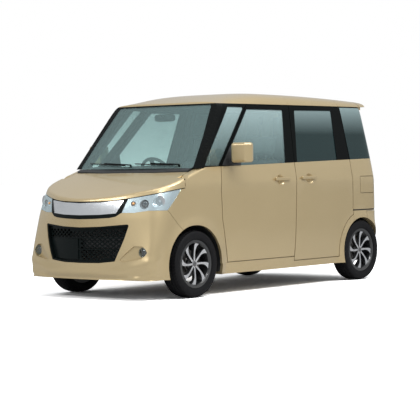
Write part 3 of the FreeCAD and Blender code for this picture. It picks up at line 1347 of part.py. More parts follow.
def steering_centre():
    return Vector(*STEERING_CENTRE)


def steering_wheel():
    """Rim, three spokes, boss and shaft about the column."""
    rim_ring = Part.makeTorus(STEERING_RADIUS, 14.5)
    boss = Part.makeCone(52.0, 72.0, 34.0, Vector(0, 0, -34.0))
    boss = boss.makeFillet(8.0, [boss.Edges[0]])
    shaft = Part.makeCylinder(12.0, 100.0, Vector(0, 0, -134.0))
    spokes = []
    for angle in (0.0, 180.0, 270.0):
        spoke = box(40.0, STEERING_RADIUS, -22.0, 22.0, -16.0, -4.0)
        spoke.rotate(Vector(0, 0, 0), Vector(0, 0, 1), angle)
        spokes.append(spoke)
    wheel = rim_ring.fuse([boss, shaft] + spokes)
    wheel.Placement = FreeCAD.Placement(steering_centre(),
                                        FreeCAD.Rotation(Vector(0, 0, 1), steering_axis()))
    return wheel


def door_mirror():
    """Left door mirror: rounded housing on a foot in the door's front corner."""
    housing = plan_prism([(752.0, -632.0), (900.0, -618.0), (930.0, -560.0), (918.0, -520.0),
                          (752.0, -508.0)], 1116.0, 1285.0)
    housing = housing.makeFillet(24.0, housing.Edges)
    foot = plan_prism([(690.0, -600.0), (775.0, -592.0), (775.0, -552.0), (690.0, -548.0)],
                      1100.0, 1150.0)
    foot = foot.cut(housing)
    skin = side_slab(-720.0, -400.0, 1060.0, 1300.0, -8.0, -SEAM)
    sail = skin.common(side_prism([(-520.0, 1268.0), (-684.0, 1092.0), (-424.0, 1092.0)],
                                  500.0, 900.0, 6.0))
    foot = foot.cut(side_slab(-760.0, -400.0, 1040.0, 1320.0, -6.0, 200.0))
    glass = housing.common(box(700.0, 1000.0, -516.0, -500.0, 1100.0, 1300.0))
    return housing.cut(glass), foot.fuse(sail), glass


bonnet, bumper, wing, lamp, upper, inside = build_front()
add("bonnet", main_solid(bonnet))
grille_outline = mirrored_outline(GRILLE_TOP, GRILLE_BOTTOM)
grille_hole = front_prism(grille_outline, -1800.0, -1500.0, 14.0)
add("front_bumper", front_bumper(bumper.cut(grille_hole)))
left_wing = main_solid(front_wing(wing))
add("front_wings", [left_wing, mirrored(left_wing)])
lens, housing = headlamp(main_solid(lamp))
add("headlamp_lenses", [lens, mirrored(lens)])
add("headlamps", [housing, mirrored(housing)])
chrome, surround = upper_grille(main_solid(upper))
add("grille_bar", chrome)
add("upper_grille", surround)
add("lower_grille", lower_grille(grille_outline))
left_fog = fog_lamp()
add("fog_lamps", [left_fog, mirrored(left_fog)])

both_sides("front_door", main_solid(front_door()))
slider = main_solid(rear_door())
add("sliding_doors", [slider, mirrored(slider)])
both_sides("front_door_glass", side_glass(FRONT_WINDOW, -760.0, 440.0, 12.0))
rear_pane = side_glass(REAR_WINDOW, 270.0, 1240.0, 12.0)
light_pane = side_glass(QUARTER_LIGHT, -960.0, -200.0, 10.0)
light_pane = main_solid(light_pane.cut(screen_slab(-300.0, PILLAR_DEPTH + SEAM)))
add("quarter_lights", [light_pane, mirrored(light_pane)])

roof, cap = build_roof()
add("roof_panel", roof)
gate, gate_glass, tail_lamp, rear_bumper, quarter, quarter_pane, lid, pocket = build_tail(cap)
add("tailgate", main_solid(gate))
add("tailgate_glass", main_solid(gate_glass))
tail_lamp = main_solid(tail_lamp)
add("tail_lamps", [tail_lamp, mirrored(tail_lamp)])
add("rear_bumper", main_solid(rear_bumper))
quarter = main_solid(quarter)
add("quarter_panels", [main_solid(quarter.cut(pocket)), mirrored(quarter)])
add("fuel_lid", main_solid(lid))
side_pane = main_solid(quarter_pane)
add("privacy_glass", [rear_pane, mirrored(rear_pane), side_pane, mirrored(side_pane)])

frame = main_solid(build_side_frame(wing_clearance(inside)))
both_sides("side_frame", frame)

opening = front_prism(glass_outline(0.0), -1200.0, -300.0, 30.0)
half_frame = screen_slab(0.0, PILLAR_DEPTH).cut(opening)
half_frame = half_frame.common(box(0.0, 800.0, -1200.0, 0.0, 1075.0, BAND_HEIGHT - SEAM))
half_frame = half_frame.common(side_slab(-1180.0, -330.0, 1030.0, 1660.0, 0.0, 760.0))
add("windscreen_frame", main_solid(half_frame.fuse(mirrored(half_frame))))
glass = screen_slab(4.0, 4.0 + SCREEN_THICKNESS).common(opening)
add("windscreen", main_solid(glass.common(box(-800.0, 800.0, -1200.0, 0.0, 1075.0, 1625.0))))

cowl_plan = plan_prism([(-634.0, -1051.0), (-300.0, -1086.0), (300.0, -1086.0), (634.0, -1051.0),
                        (634.0, -960.0), (-634.0, -960.0)], 900.0, 1100.0)
cowl_side = side_prism([(-1100.0, 1004.0), (-1100.0, 1040.0), (-1046.0, 1060.0),
                        (-1020.0, 1073.5), (-950.0, 1073.5), (-950.0, 1004.0)], -900.0, 900.0)
add("cowl", cowl_plan.common(cowl_side))

for end, axle, track in (("front", FRONT_AXLE, FRONT_TRACK), ("rear", REAR_AXLE, REAR_TRACK)):
    centre = Vector(track / 2, axle, TYRE_RADIUS)
    left_tyre = tyre(centre)
    left_rim = rim(centre)
    add("tyre_" + end + "_left", left_tyre)
    add("tyre_" + end + "_right", mirrored(left_tyre))
    add("rim_" + end + "_left", left_rim)
    add("rim_" + end + "_right", mirrored(left_rim))

add("floor_pan", [floor_pan().fuse(bulkhead())] + seat_mounts())
add("front_structure", front_structure())
liner_front = wheel_well_left(FRONT_AXLE, FRONT_LINER, FRONT_WELL, 712.0, ARCH_LEAD)
liner_front = liner_front.common(nose_volume(SKIN + 0.6)).cut(along_kingpin(500.0, 700.0, 66.0))
liner_rear = wheel_well_left(REAR_AXLE, REAR_LINER, REAR_WELL, 700.0)
rear_inside = tail_volume(TAIL_WALL + 0.6).common(box(-900.0, 900.0, 1216.5, 1800.0, 0.0, 1700.0))
side_inside = side_slab(1000.0, 1216.4, 150.0, 700.0, FRAME_DEPTH + SEAM, 700.0)
liner_rear = liner_rear.common(rear_inside.fuse(side_inside))
add("wheel_liners", [liner_front, mirrored(liner_front), main_solid(liner_rear),
                     mirrored(main_solid(liner_rear))])
both_sides("knuckle", knuckle_left())
engine = box(-300.0, 300.0, -1470.0, -1130.0, 250.0, 780.0)
shaft = rod(Vector(140.0, FRONT_AXLE, TYRE_RADIUS), kingpin(TYRE_RADIUS), 13.0)
shaft = shaft.fuse(Part.makeCone(17.0, 29.0, 62.0, Vector(470.0, FRONT_AXLE, TYRE_RADIUS),
                                 Vector(1, 0, 0)))
shaft = shaft.cut(Part.makeSphere(CV_RADIUS + 0.5, kingpin(TYRE_RADIUS)))
gearbox = Part.makeCylinder(95.0, 430.0, Vector(-280.0, FRONT_AXLE, TYRE_RADIUS), Vector(1, 0, 0))
gearbox = gearbox.common(box(-300.0, 300.0, -1129.9, -900.0, 200.0, 420.0))
add("engine_block", engine)
add("drive_shafts", gearbox.fuse([main_solid(shaft), mirrored(main_solid(shaft))]))
add("fuel_tank", soft_box(-300.0, 330.0, 700.0, 1000.0, 172.0, SEAT_FLOOR - FLOOR_THICKNESS, 20.0))
add("exhaust", exhaust())
add("rear_axle", rear_axle())
seat = front_seat()
both_sides("front_seat", seat)
add("rear_seat", rear_seat())
add("dashboard", dashboard())
add("steering_wheel", steering_wheel())
mirror_housing, mirror_foot, mirror_pane = door_mirror()
both_sides("mirror_housing", mirror_housing)
add("mirror_fittings_left", [mirror_foot, mirror_pane])
add("mirror_fittings_right", [mirrored(mirror_foot), mirrored(mirror_pane)])

for end, axle, track, brake in (("front", FRONT_AXLE, FRONT_TRACK, brake_disc),
                                ("rear", REAR_AXLE, REAR_TRACK, brake_drum)):
    both_sides("brake_" + end, brake(Vector(track / 2, axle, TYRE_RADIUS)))

ring_wall = tail_volume(TAIL_WALL + 6.0).cut(tail_volume(TAIL_WALL + 34.0))
ring_wall = ring_wall.common(box(-900.0, 900.0, 1530.0, 1800.0, LUGGAGE_FLOOR + SEAM, 1616.0))
ring_outer = front_prism([(-640.0, 500.0), (640.0, 500.0), (650.0, 1080.0), (585.0, 1640.0),
                          (-585.0, 1640.0), (-650.0, 1080.0)], 1400.0, 1800.0)
ring_inner = front_prism([(-560.0, 672.0), (560.0, 672.0), (575.0, 1080.0), (525.0, 1585.0),
                          (-525.0, 1585.0), (-575.0, 1080.0)], 1400.0, 1800.0, 40.0)
add("tail_frame", main_solid(ring_wall.common(ring_outer).cut(ring_inner)))

os.makedirs("parts", exist_ok=True)
for node_name, shape in nodes.items():
    shape.exportStep(os.path.join("parts", node_name + ".step"))
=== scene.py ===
"""Kei car dressed for its portrait: paint, glass, trim, tyres and seats over the CAD frame.

Metres. +X is the car's left, the nose points to -Y, +Z is up.
"""

import math

import bmesh
import bpy
from mathutils import Matrix, Vector
from mathutils.bvhtree import BVHTree


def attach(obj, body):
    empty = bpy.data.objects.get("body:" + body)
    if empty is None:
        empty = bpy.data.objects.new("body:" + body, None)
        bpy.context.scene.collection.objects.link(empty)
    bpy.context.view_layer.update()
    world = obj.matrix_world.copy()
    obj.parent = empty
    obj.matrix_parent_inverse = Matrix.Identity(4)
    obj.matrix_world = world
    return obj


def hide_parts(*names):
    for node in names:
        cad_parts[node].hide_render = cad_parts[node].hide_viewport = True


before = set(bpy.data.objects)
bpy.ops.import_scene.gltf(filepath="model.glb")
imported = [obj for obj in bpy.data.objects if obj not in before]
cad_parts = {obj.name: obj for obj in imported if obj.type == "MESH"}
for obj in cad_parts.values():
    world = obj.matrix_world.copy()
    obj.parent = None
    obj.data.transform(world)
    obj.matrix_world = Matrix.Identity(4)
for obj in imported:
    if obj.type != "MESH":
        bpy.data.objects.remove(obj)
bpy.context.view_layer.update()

# Sizes shared with the part
BELT_HEIGHT = 1.085
BELT_STATION = -0.700
BELT_RISE = 0.023
TYRE_RADIUS = 0.281
TYRE_WIDTH = 0.165
DOOR_TOP = 1.619
SLIDE_RAIL_HEIGHT = 0.657
AXLES = {"front": (-1.062, 1.295), "rear": (1.353, 1.290)}  # station and track

SIDES = (("left", 1.0), ("right", -1.0))


# Material nodes

# Sockets of the mix node's colour variant
MIX_FIRST, MIX_SECOND, MIX_RESULT = 6, 7, 2


def blank_material(name):
    material = bpy.data.materials.new(name)
    material.use_nodes = True
    material.node_tree.nodes.clear()
    return material, material.node_tree.nodes.new("ShaderNodeOutputMaterial")


def new_material(name):
    material, output = blank_material(name)
    shader = add_node(material, "ShaderNodeBsdfPrincipled")
    link(material, shader.outputs["BSDF"], output.inputs["Surface"])
    return material, shader


def link(material, source, target):
    material.node_tree.links.new(source, target)


def add_node(material, kind, **inputs):
    node = material.node_tree.nodes.new(kind)
    for key, value in inputs.items():
        node.inputs[key].default_value = value
    return node


def object_point(material):
    return add_node(material, "ShaderNodeTexCoord").outputs["Object"]


def noise(material, scale, detail=3.0):
    node = add_node(material, "ShaderNodeTexNoise", Scale=scale, Detail=detail, Roughness=0.55)
    link(material, object_point(material), node.inputs["Vector"])
    return node.outputs["Fac"]


def spread(material, value, low, high, start=0.0, stop=1.0):
    """Maps the range from start to stop onto the one from low to high."""
    node = add_node(material, "ShaderNodeMapRange")
    for socket, number in (("From Min", start), ("From Max", stop), ("To Min", low),
                           ("To Max", high)):
        node.inputs[socket].default_value = number
    link(material, value, node.inputs["Value"])
    return node.outputs["Result"]


def mixed(material, factor, first, second):
    """Colour that goes from the first to the second as the factor rises."""
    node = material.node_tree.nodes.new("ShaderNodeMix")
    node.data_type = "RGBA"
    link(material, factor, node.inputs["Factor"])
    for index, colour in ((MIX_FIRST, first), (MIX_SECOND, second)):
        if isinstance(colour, tuple):
            node.inputs[index].default_value = colour + (1.0,)
        else:
            link(material, colour, node.inputs[index])
    return node.outputs[MIX_RESULT]


def calc(material, operation, *values):
    """One arithmetic step on sockets or numbers."""
    node = material.node_tree.nodes.new("ShaderNodeMath")
    node.operation = operation
    for socket, value in zip(node.inputs, values):
        if isinstance(value, (int, float)):
            socket.default_value = value
        else:
            link(material, value, socket)
    return node.outputs[0]


def bump(material, shader, height, strength, distance):
    node = add_node(material, "ShaderNodeBump", Strength=strength, Distance=distance)
    link(material, height, node.inputs["Height"])
    link(material, node.outputs["Normal"], shader.inputs["Normal"])


def axes_of(material, output):
    """The three parts of the object's coordinates or of its normal."""
    node = add_node(material, "ShaderNodeSeparateXYZ")
    source = add_node(material, "ShaderNodeTexCoord")
    link(material, source.outputs[output], node.inputs["Vector"])
    return node.outputs["X"], node.outputs["Y"], node.outputs["Z"]


# Finishes

PAINT_DARK = (0.470, 0.362, 0.190)
PAINT_LIGHT = (0.505, 0.394, 0.212)
FLAKE = (0.88, 0.74, 0.50)
FLAKE_SCALE = 2600.0
PAINT_METAL = 0.55
PAINT_COAT = 0.55
PAINT_SPECULAR = 0.5
PILLAR_BLACK = (0.004, 0.005, 0.005)
PILLAR_SPECULAR = 0.04
TRIM_GREY = (0.085, 0.088, 0.090)
HEADLINER = (0.42, 0.42, 0.40)

# Where a lined panel looks into the cabin: its normal, and the half width within the skin
CEILING_NORMAL = -0.35
INWARD_NORMAL = -0.45
CABIN_HALF_WIDTH = 0.702

# The part of a wheel that is turned bright: its face's offset, normal and radius
SPOKE_FACE_OFFSET = 0.044
SPOKE_FACE_NORMAL = 0.80
SPOKE_FACE_RADIUS = 0.1705
TURNING_MARKS = 9000.0

# The silvered pane of a door mirror: its least distance from the middle, and its normal
PANE_OFFSET = 0.775
PANE_NORMAL = 0.85

GLASS_SHINE = (0.90, 0.97, 0.97, 1.0)
GLASS_ROUGHNESS = 0.01
FACE_ON_SHINE = 0.05
GRAZING_SHINE = 0.94
GRAZING_POWER = 5.0


def surface_material(name, dark, light, rough, metallic=0.0, scale=60.0, grain=None, coat=0.0,
                     specular=0.5):
    """Finish with a slight change of colour, an uneven gloss and a fine grain.

    The grain is its noise scale, its strength and its depth.
    """
    material, shader = new_material(name)
    patches = noise(material, scale)
    link(material, mixed(material, patches, dark, light), shader.inputs["Base Color"])
    uneven = noise(material, scale * 2.7)
    link(material, spread(material, uneven, *rough), shader.inputs["Roughness"])
    shader.inputs["Metallic"].default_value = metallic
    shader.inputs["Coat Weight"].default_value = coat
    shader.inputs["Coat Roughness"].default_value = 0.04
    shader.inputs["Specular IOR Level"].default_value = specular
    if grain:
        grain_scale, strength, depth = grain
        bump(material, shader, noise(material, grain_scale, 2.0), strength, depth)
    return material


def above_belt(material):
    """1 above the belt line, 0 below it."""
    x, y, z = axes_of(material, "Object")
    line = calc(material, "MULTIPLY_ADD", y, BELT_RISE, BELT_HEIGHT - BELT_RISE * BELT_STATION)
    return calc(material, "GREATER_THAN", z, line)


def faces_inward(material, ceiling):
    """1 on faces that look into the cabin."""
    x, y, z = axes_of(material, "Object")
    across, along, up = axes_of(material, "Normal")
    if ceiling:
        return calc(material, "LESS_THAN", up, CEILING_NORMAL)
    outward = calc(material, "MULTIPLY", across, calc(material, "SIGN", x))
    inward = calc(material, "LESS_THAN", outward, INWARD_NORMAL)
    within = calc(material, "LESS_THAN", calc(material, "ABSOLUTE", x), CABIN_HALF_WIDTH)
    return calc(material, "MULTIPLY", inward, within)


def paint(name, black_pillars=False, lining=None, ceiling=False):
    """Champagne metallic under clear lacquer, with black pillars and a lined inside if asked."""
    material, shader = new_material(name)
    flakes = add_node(material, "ShaderNodeTexVoronoi", Scale=FLAKE_SCALE)
    link(material, object_point(material), flakes.inputs["Vector"])
    flake = add_node(material, "ShaderNodeSeparateColor")
    link(material, flakes.outputs["Color"], flake.inputs["Color"])
    colour = mixed(material, noise(material, 3.0), PAINT_DARK, PAINT_LIGHT)
    sparkle = spread(material, flake.outputs["Red"], 0.0, 0.16)
    colour = mixed(material, sparkle, colour, FLAKE)
    rough = spread(material, flake.outputs["Green"], 0.27, 0.38)
    link(material, rough, shader.inputs["Roughness"])
    covers = []
    if black_pillars:
        pillar = above_belt(material)
        covers.append((pillar, PILLAR_BLACK))
        lacquered = calc(material, "SUBTRACT", 1.0, pillar)
        link(material, calc(material, "MULTIPLY", lacquered, PAINT_COAT),
             shader.inputs["Coat Weight"])
        link(material, spread(material, pillar, PAINT_SPECULAR, PILLAR_SPECULAR),
             shader.inputs["Specular IOR Level"])
    else:
        shader.inputs["Coat Weight"].default_value = PAINT_COAT
    if lining:
        covers.append((faces_inward(material, ceiling), lining))
    metal = PAINT_METAL
    for mask, cover in covers:
        colour = mixed(material, mask, colour, cover)
        metal = calc(material, "MULTIPLY", calc(material, "SUBTRACT", 1.0, mask), metal)
    if covers:
        link(material, metal, shader.inputs["Metallic"])
    else:
        shader.inputs["Metallic"].default_value = metal
    link(material, colour, shader.inputs["Base Color"])
    shader.inputs["Coat Roughness"].default_value = 0.05
    return material


def wheel_finish(name, axle, track):
    """Machined spoke faces on a gloss black wheel."""
    material, shader = new_material(name)
    x, y, z = axes_of(material, "Object")
    across, along, up = axes_of(material, "Normal")
    out = calc(material, "SUBTRACT", calc(material, "ABSOLUTE", x), track / 2)
    face = calc(material, "GREATER_THAN", out, SPOKE_FACE_OFFSET)
    flat = calc(material, "GREATER_THAN", calc(material, "ABSOLUTE", across), SPOKE_FACE_NORMAL)
    dy = calc(material, "SUBTRACT", y, axle)
    dz = calc(material, "SUBTRACT", z, TYRE_RADIUS)
    square = calc(material, "ADD", calc(material, "MULTIPLY", dy, dy),
                  calc(material, "MULTIPLY", dz, dz))
    radius = calc(material, "SQRT", square)
    within = calc(material, "LESS_THAN", radius, SPOKE_FACE_RADIUS)
    mask = calc(material, "MULTIPLY", calc(material, "MULTIPLY", face, flat), within)
    rings = calc(material, "SINE", calc(material, "MULTIPLY", radius, TURNING_MARKS))
    bright = mixed(material, noise(material, 120.0), (0.60, 0.61, 0.63), (0.74, 0.75, 0.77))
    black = mixed(material, noise(material, 60.0), (0.012, 0.013, 0.014), (0.024, 0.025, 0.026))
    link(material, mixed(material, mask, black, bright), shader.inputs["Base Color"])
    link(material, mask, shader.inputs["Metallic"])
    uneven = spread(material, noise(material, 90.0), 0.24, 0.34)
    link(material, uneven, shader.inputs["Roughness"])
    shader.inputs["Coat Weight"].default_value = 0.5
    shader.inputs["Coat Roughness"].default_value = 0.05
    bump(material, shader, calc(material, "MULTIPLY", rings, mask), 0.12, 0.00004)
    return material


def mirror_finish(name):
    """Black plastic, silvered on the pane that looks rearward in the mirror's housing."""
    material, shader = new_material(name)
    x, y, z = axes_of(material, "Object")
    across, along, up = axes_of(material, "Normal")
    out = calc(material, "GREATER_THAN", calc(material, "ABSOLUTE", x), PANE_OFFSET)
    back = calc(material, "GREATER_THAN", along, PANE_NORMAL)
    mask = calc(material, "MULTIPLY", out, back)
    dark = mixed(material, noise(material, 60.0), (0.014, 0.015, 0.016), (0.024, 0.025, 0.026))
    colour = mixed(material, mask, dark, (0.80, 0.82, 0.84))
    link(material, colour, shader.inputs["Base Color"])
    link(material, mask, shader.inputs["Metallic"])
    link(material, spread(material, mask, 0.50, 0.03), shader.inputs["Roughness"])
    return material


def glass(name, tint, veil_colour, veil_share, painted_reflection_top=None):
    """Thin tinted glass under a faint veil: mirror-like at a grazing view, clear face on.

    A painted reflection top is a paler, thicker veil towards the top of the glass. It stands in
    for the sky's reflection and shows from every side. It is given as the height where it
    starts, the height where it is full, and its veil's colour and share there.
    """
    material, output = blank_material(name)
    clear = add_node(material, "ShaderNodeBsdfTransparent")
    shine = add_node(material, "ShaderNodeBsdfGlossy", Roughness=GLASS_ROUGHNESS,
                     Color=GLASS_SHINE)
    body = add_node(material, "ShaderNodeBsdfDiffuse")
    haze = noise(material, 2.2)
    lit = tuple(min(c * 1.15, 1.0) for c in veil_colour)
    colour = mixed(material, haze, veil_colour, lit)
    link(material, mixed(material, haze, tuple(c * 0.93 for c in tint), tint),
         clear.inputs["Color"])
    veil = add_node(material, "ShaderNodeMixShader")
    veil.inputs[0].default_value = veil_share
    # Painted reflection: the veil grows paler and thicker with height, standing in for the sky's
    # reflection
    if painted_reflection_top:
        x, y, z = axes_of(material, "Object")
        start, full, painted_reflection_colour, painted_reflection_share = painted_reflection_top
        height = spread(material, z, 0.0, 1.0, start, full)
        colour = mixed(material, height, colour, painted_reflection_colour)
        link(material, spread(material, height, veil_share, painted_reflection_share), veil.inputs[0])
    link(material, colour, body.inputs["Color"])
    link(material, clear.outputs[0], veil.inputs[1])
    link(material, body.outputs[0], veil.inputs[2])
    facing = add_node(material, "ShaderNodeLayerWeight", Blend=0.5).outputs["Facing"]
    grazing = calc(material, "MULTIPLY_ADD", calc(material, "POWER", facing, GRAZING_POWER),
                   GRAZING_SHINE, FACE_ON_SHINE)
    mix = add_node(material, "ShaderNodeMixShader")
    link(material, grazing, mix.inputs[0])
    link(material, veil.outputs[0], mix.inputs[1])
    link(material, shine.outputs[0], mix.inputs[2])
    link(material, mix.outputs[0], output.inputs["Surface"])
    return material


MATERIALS = {
    "paint": paint("champagne_paint"),
    "paint_black": paint("champagne_paint_black_pillars", True, TRIM_GREY),
    "paint_roof": paint("champagne_paint_lined_roof", False, HEADLINER, True),
    "rim_front": wheel_finish("machined_front_wheel", *AXLES["front"]),
    "rim_rear": wheel_finish("machined_rear_wheel", *AXLES["rear"]),
    "mirror": mirror_finish("silvered_mirror"),
    # The last tuple of the clear and the privacy glass is a painted sky reflection at the top of
    # the glass
    "clear_glass": glass("clear_glass", (0.82, 0.92, 0.91), (0.40, 0.56, 0.57), 0.07,
                         (1.10, 1.60, (0.60, 0.76, 0.77), 0.34)),
    "screen_glass": glass("windscreen_glass", (0.85, 0.94, 0.93), (0.40, 0.58, 0.58), 0.10),
    "dark_glass": glass("privacy_glass", (0.10, 0.14, 0.14), (0.010, 0.030, 0.031), 0.60,
                        (1.36, 1.60, (0.25, 0.34, 0.345), 0.76)),
    "lens": glass("lamp_lens", (0.90, 0.94, 0.95), (0.8, 0.84, 0.86), 0.06),
    "grille_black": surface_material(
        "gloss_black_grille", (0.003, 0.005, 0.005), (0.006, 0.009, 0.009), (0.28, 0.40),
        scale=50.0, grain=(900.0, 0.08, 0.0002), specular=0.08),
    "pillar": surface_material(
        "gloss_black_pillar", (0.004, 0.005, 0.005), (0.007, 0.008, 0.008), (0.22, 0.32),
        scale=30.0, grain=(60.0, 0.02, 0.0001), specular=0.05),
    "plastic": surface_material(
        "black_moulded_plastic", (0.014, 0.015, 0.016), (0.024, 0.025, 0.026), (0.45, 0.62),
        scale=120.0, grain=(1400.0, 0.25, 0.0004)),
    "rubber": surface_material(
        "tyre_rubber", (0.005, 0.005, 0.006), (0.012, 0.012, 0.013), (0.5, 0.7),
        scale=90.0, grain=(700.0, 0.3, 0.0005), specular=0.12),
    "seal": surface_material(
        "door_seal_rubber", (0.006, 0.006, 0.007), (0.013, 0.013, 0.014), (0.6, 0.8),
        scale=150.0, grain=(900.0, 0.3, 0.0003)),
    "cloth_belt": surface_material(
        "seat_belt_webbing", (0.03, 0.03, 0.032), (0.05, 0.05, 0.053), (0.6, 0.75),
        scale=900.0, grain=(1600.0, 0.4, 0.0003)),
    "fabric": surface_material(
        "woven_seat_cloth", (0.10, 0.105, 0.11), (0.17, 0.175, 0.18), (0.8, 0.95),
        scale=700.0, grain=(1100.0, 0.5, 0.0008)),
    "interior": surface_material(
        "interior_moulding", (0.06, 0.065, 0.066), (0.085, 0.09, 0.091), (0.5, 0.65),
        scale=90.0, grain=(1500.0, 0.3, 0.0004)),
    "underbody": surface_material(
        "sealed_underbody", (0.10, 0.08, 0.055), (0.16, 0.13, 0.09), (0.5, 0.7),
        scale=40.0, grain=(300.0, 0.4, 0.001)),
    "structure": surface_material(
        "black_coated_steel", (0.015, 0.015, 0.016), (0.030, 0.030, 0.031), (0.4, 0.55),
        scale=60.0, grain=(500.0, 0.2, 0.0004)),
    "iron": surface_material(
        "grey_cast_iron", (0.10, 0.10, 0.10), (0.20, 0.19, 0.18), (0.45, 0.65),
        metallic=0.8, scale=150.0, grain=(800.0, 0.4, 0.0006)),
    "steel": surface_material(
        "dull_steel", (0.25, 0.24, 0.23), (0.38, 0.37, 0.36), (0.35, 0.5),
        metallic=1.0, scale=80.0, grain=(600.0, 0.2, 0.0004)),
    "chrome": surface_material(
        "bright_chrome", (0.72, 0.74, 0.76), (0.82, 0.84, 0.86), (0.17, 0.25),
        metallic=1.0, scale=6.0),
    "cap": surface_material(
        "dark_wheel_cap", (0.09, 0.09, 0.095), (0.15, 0.15, 0.155), (0.2, 0.3),
        metallic=0.6, scale=200.0, grain=(900.0, 0.1, 0.0002), coat=0.3),
    "plate": surface_material(
        "blank_plate", (0.74, 0.74, 0.72), (0.80, 0.80, 0.78), (0.35, 0.5),
        scale=30.0, grain=(500.0, 0.1, 0.0002)),
    "reflector": surface_material(
        "lamp_reflector", (0.80, 0.83, 0.85), (0.94, 0.96, 0.98), (0.22, 0.38),
        metallic=0.85, scale=35.0, grain=(240.0, 0.1, 0.0004)),
    "amber": surface_material(
        "amber_bulb", (0.80, 0.30, 0.04), (0.95, 0.42, 0.08), (0.08, 0.14),
        scale=90.0, grain=(400.0, 0.1, 0.0002), coat=1.0),
    "projector": surface_material(
        "projector_glass", (0.03, 0.05, 0.06), (0.06, 0.09, 0.10), (0.02, 0.05),
        scale=40.0, coat=1.0),
    "red_lens": surface_material(
        "red_lens", (0.30, 0.01, 0.012), (0.42, 0.02, 0.02), (0.05, 0.1),
        scale=60.0, grain=(200.0, 0.2, 0.0006), coat=1.0),
}

# The finish of the CAD pieces by the start of their names, the first that fits; others are paint
FINISHES = (
    ("windscreen_frame", "pillar"), ("windscreen", "screen_glass"),
    ("quarter_lights", "clear_glass"), ("front_door_glass", "clear_glass"),
    ("privacy_glass", "dark_glass"), ("tailgate_glass", "dark_glass"),
    ("front_door", "paint_black"), ("sliding_doors", "paint_black"),
    ("side_frame", "paint_black"), ("quarter_panels", "paint_black"),
    ("roof_panel", "paint_roof"), ("cowl", "plastic"), ("mirror_fittings", "mirror"),
    ("lower_grille", "grille_black"), ("upper_grille", "grille_black"), ("grille_bar", "chrome"),
    ("headlamps", "reflector"), ("headlamp_lenses", "lens"), ("fog_lamps", "lens"),
    ("tail_lamps", "red_lens"), ("wheel_liners", "plastic"), ("tyre", "rubber"),
    ("rim_front", "rim_front"), ("rim_rear", "rim_rear"), ("brake", "iron"), ("knuckle", "iron"),
    ("front_structure", "structure"), ("rear_axle", "structure"), ("engine_block", "iron"),
    ("drive_shafts", "steel"), ("exhaust", "steel"), ("fuel_tank", "plastic"),
    ("floor_pan", "underbody"), ("dashboard", "interior"), ("steering_wheel", "interior"),
    ("front_seat", "fabric"), ("rear_seat", "fabric"),
)


def finish_for(name):
    for start, finish in FINISHES:
        if name.startswith(start):
            return finish
    return "paint"


def put_material(obj, material):
    obj.data.materials.clear()
    obj.data.materials.append(material)


for node_name, node_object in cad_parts.items():
    put_material(node_object, MATERIALS[finish_for(node_name)])


# Ways to make a piece

def place(name, mesh, finish, body, smooth=True):
    """Object of a mesh, with its finish, that rides on a body."""
    for face in mesh.polygons:
        face.use_smooth = smooth
    obj = bpy.data.objects.new(name, mesh)
    bpy.context.scene.collection.objects.link(obj)
    put_material(obj, MATERIALS[finish])
    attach(obj, body)
    return obj


def mesh_of(name, points, faces):
    mesh = bpy.data.meshes.new(name)
    mesh.from_pydata([tuple(p) for p in points], [], faces)
    mesh.validate()
    return mesh


def ring_faces(rings, count, flipped=False, ends="capped"):
    """Faces between rings of points; the ends are capped, open, or looped onto each other."""
    faces = []
    for row in range(rings if ends == "looped" else rings - 1):
        first, second = row * count, (row + 1) % rings * count
        for i in range(count):
            j = (i + 1) % count
            if flipped:
                faces.append((first + j, first + i, second + i, second + j))
            else:
                faces.append((first + i, first + j, second + j, second + i))
    if ends == "capped":
        foot, head = range(count), range((rings - 1) * count, rings * count)
        faces += [tuple(foot) if flipped else tuple(reversed(foot)),
                  tuple(reversed(head)) if flipped else tuple(head)]
    return faces


def lathe(name, profile, origin, axis, finish, body, segments=32):
    """Body turned about an axis; the profile is (distance along it, radius)."""
    turn = Vector(axis).to_track_quat("Z", "Y").to_matrix()
    points = []
    for along, radius in profile:
        for i in range(segments):
            angle = 2 * math.pi * i / segments
            ring = Vector((radius * math.cos(angle), radius * math.sin(angle), along))
            points.append(Vector(origin) + turn @ ring)
    return place(name, mesh_of(name, points, ring_faces(len(profile), segments)), finish, body)


def tube(name, points, radius, finish, body):
    """Round bar along a line."""
    curve = bpy.data.curves.new(name, "CURVE")
    curve.dimensions = "3D"
    curve.bevel_depth = radius
    curve.bevel_resolution = 3
    curve.use_fill_caps = True
    spline = curve.splines.new("POLY")
    spline.points.add(len(points) - 1)
    for item, point in zip(spline.points, points):
        item.co = (point[0], point[1], point[2], 1.0)
    obj = bpy.data.objects.new(name, curve)
    bpy.context.scene.collection.objects.link(obj)
    obj.data.materials.append(MATERIALS[finish])
    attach(obj, body)
    return obj


def node_tree_of(name):
    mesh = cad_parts[name].data
    return BVHTree.FromPolygons([v.co for v in mesh.vertices],
                                [tuple(p.vertices) for p in mesh.polygons])


def touch(tree, origin, direction):
    """Where a ray from a point first meets a surface, and the normal there."""
    hit = tree.ray_cast(Vector(origin), Vector(direction).normalized())
    return hit[0], hit[1]


def between(first, second, share):
    return first + (second - first) * share


# Tyres

TREAD_PITCHES = 68
# One pitch of the tread: the share of it at each station, and whether the cut is there
TREAD_PITCH = ((0.0, False), (0.70, False), (0.73, True), (0.97, True))
# Cross cuts: from and to which distance from the middle, and how deep
TREAD_CUTS = ((0.050, 0.071, 0.0055), (0.020, 0.037, 0.0035))


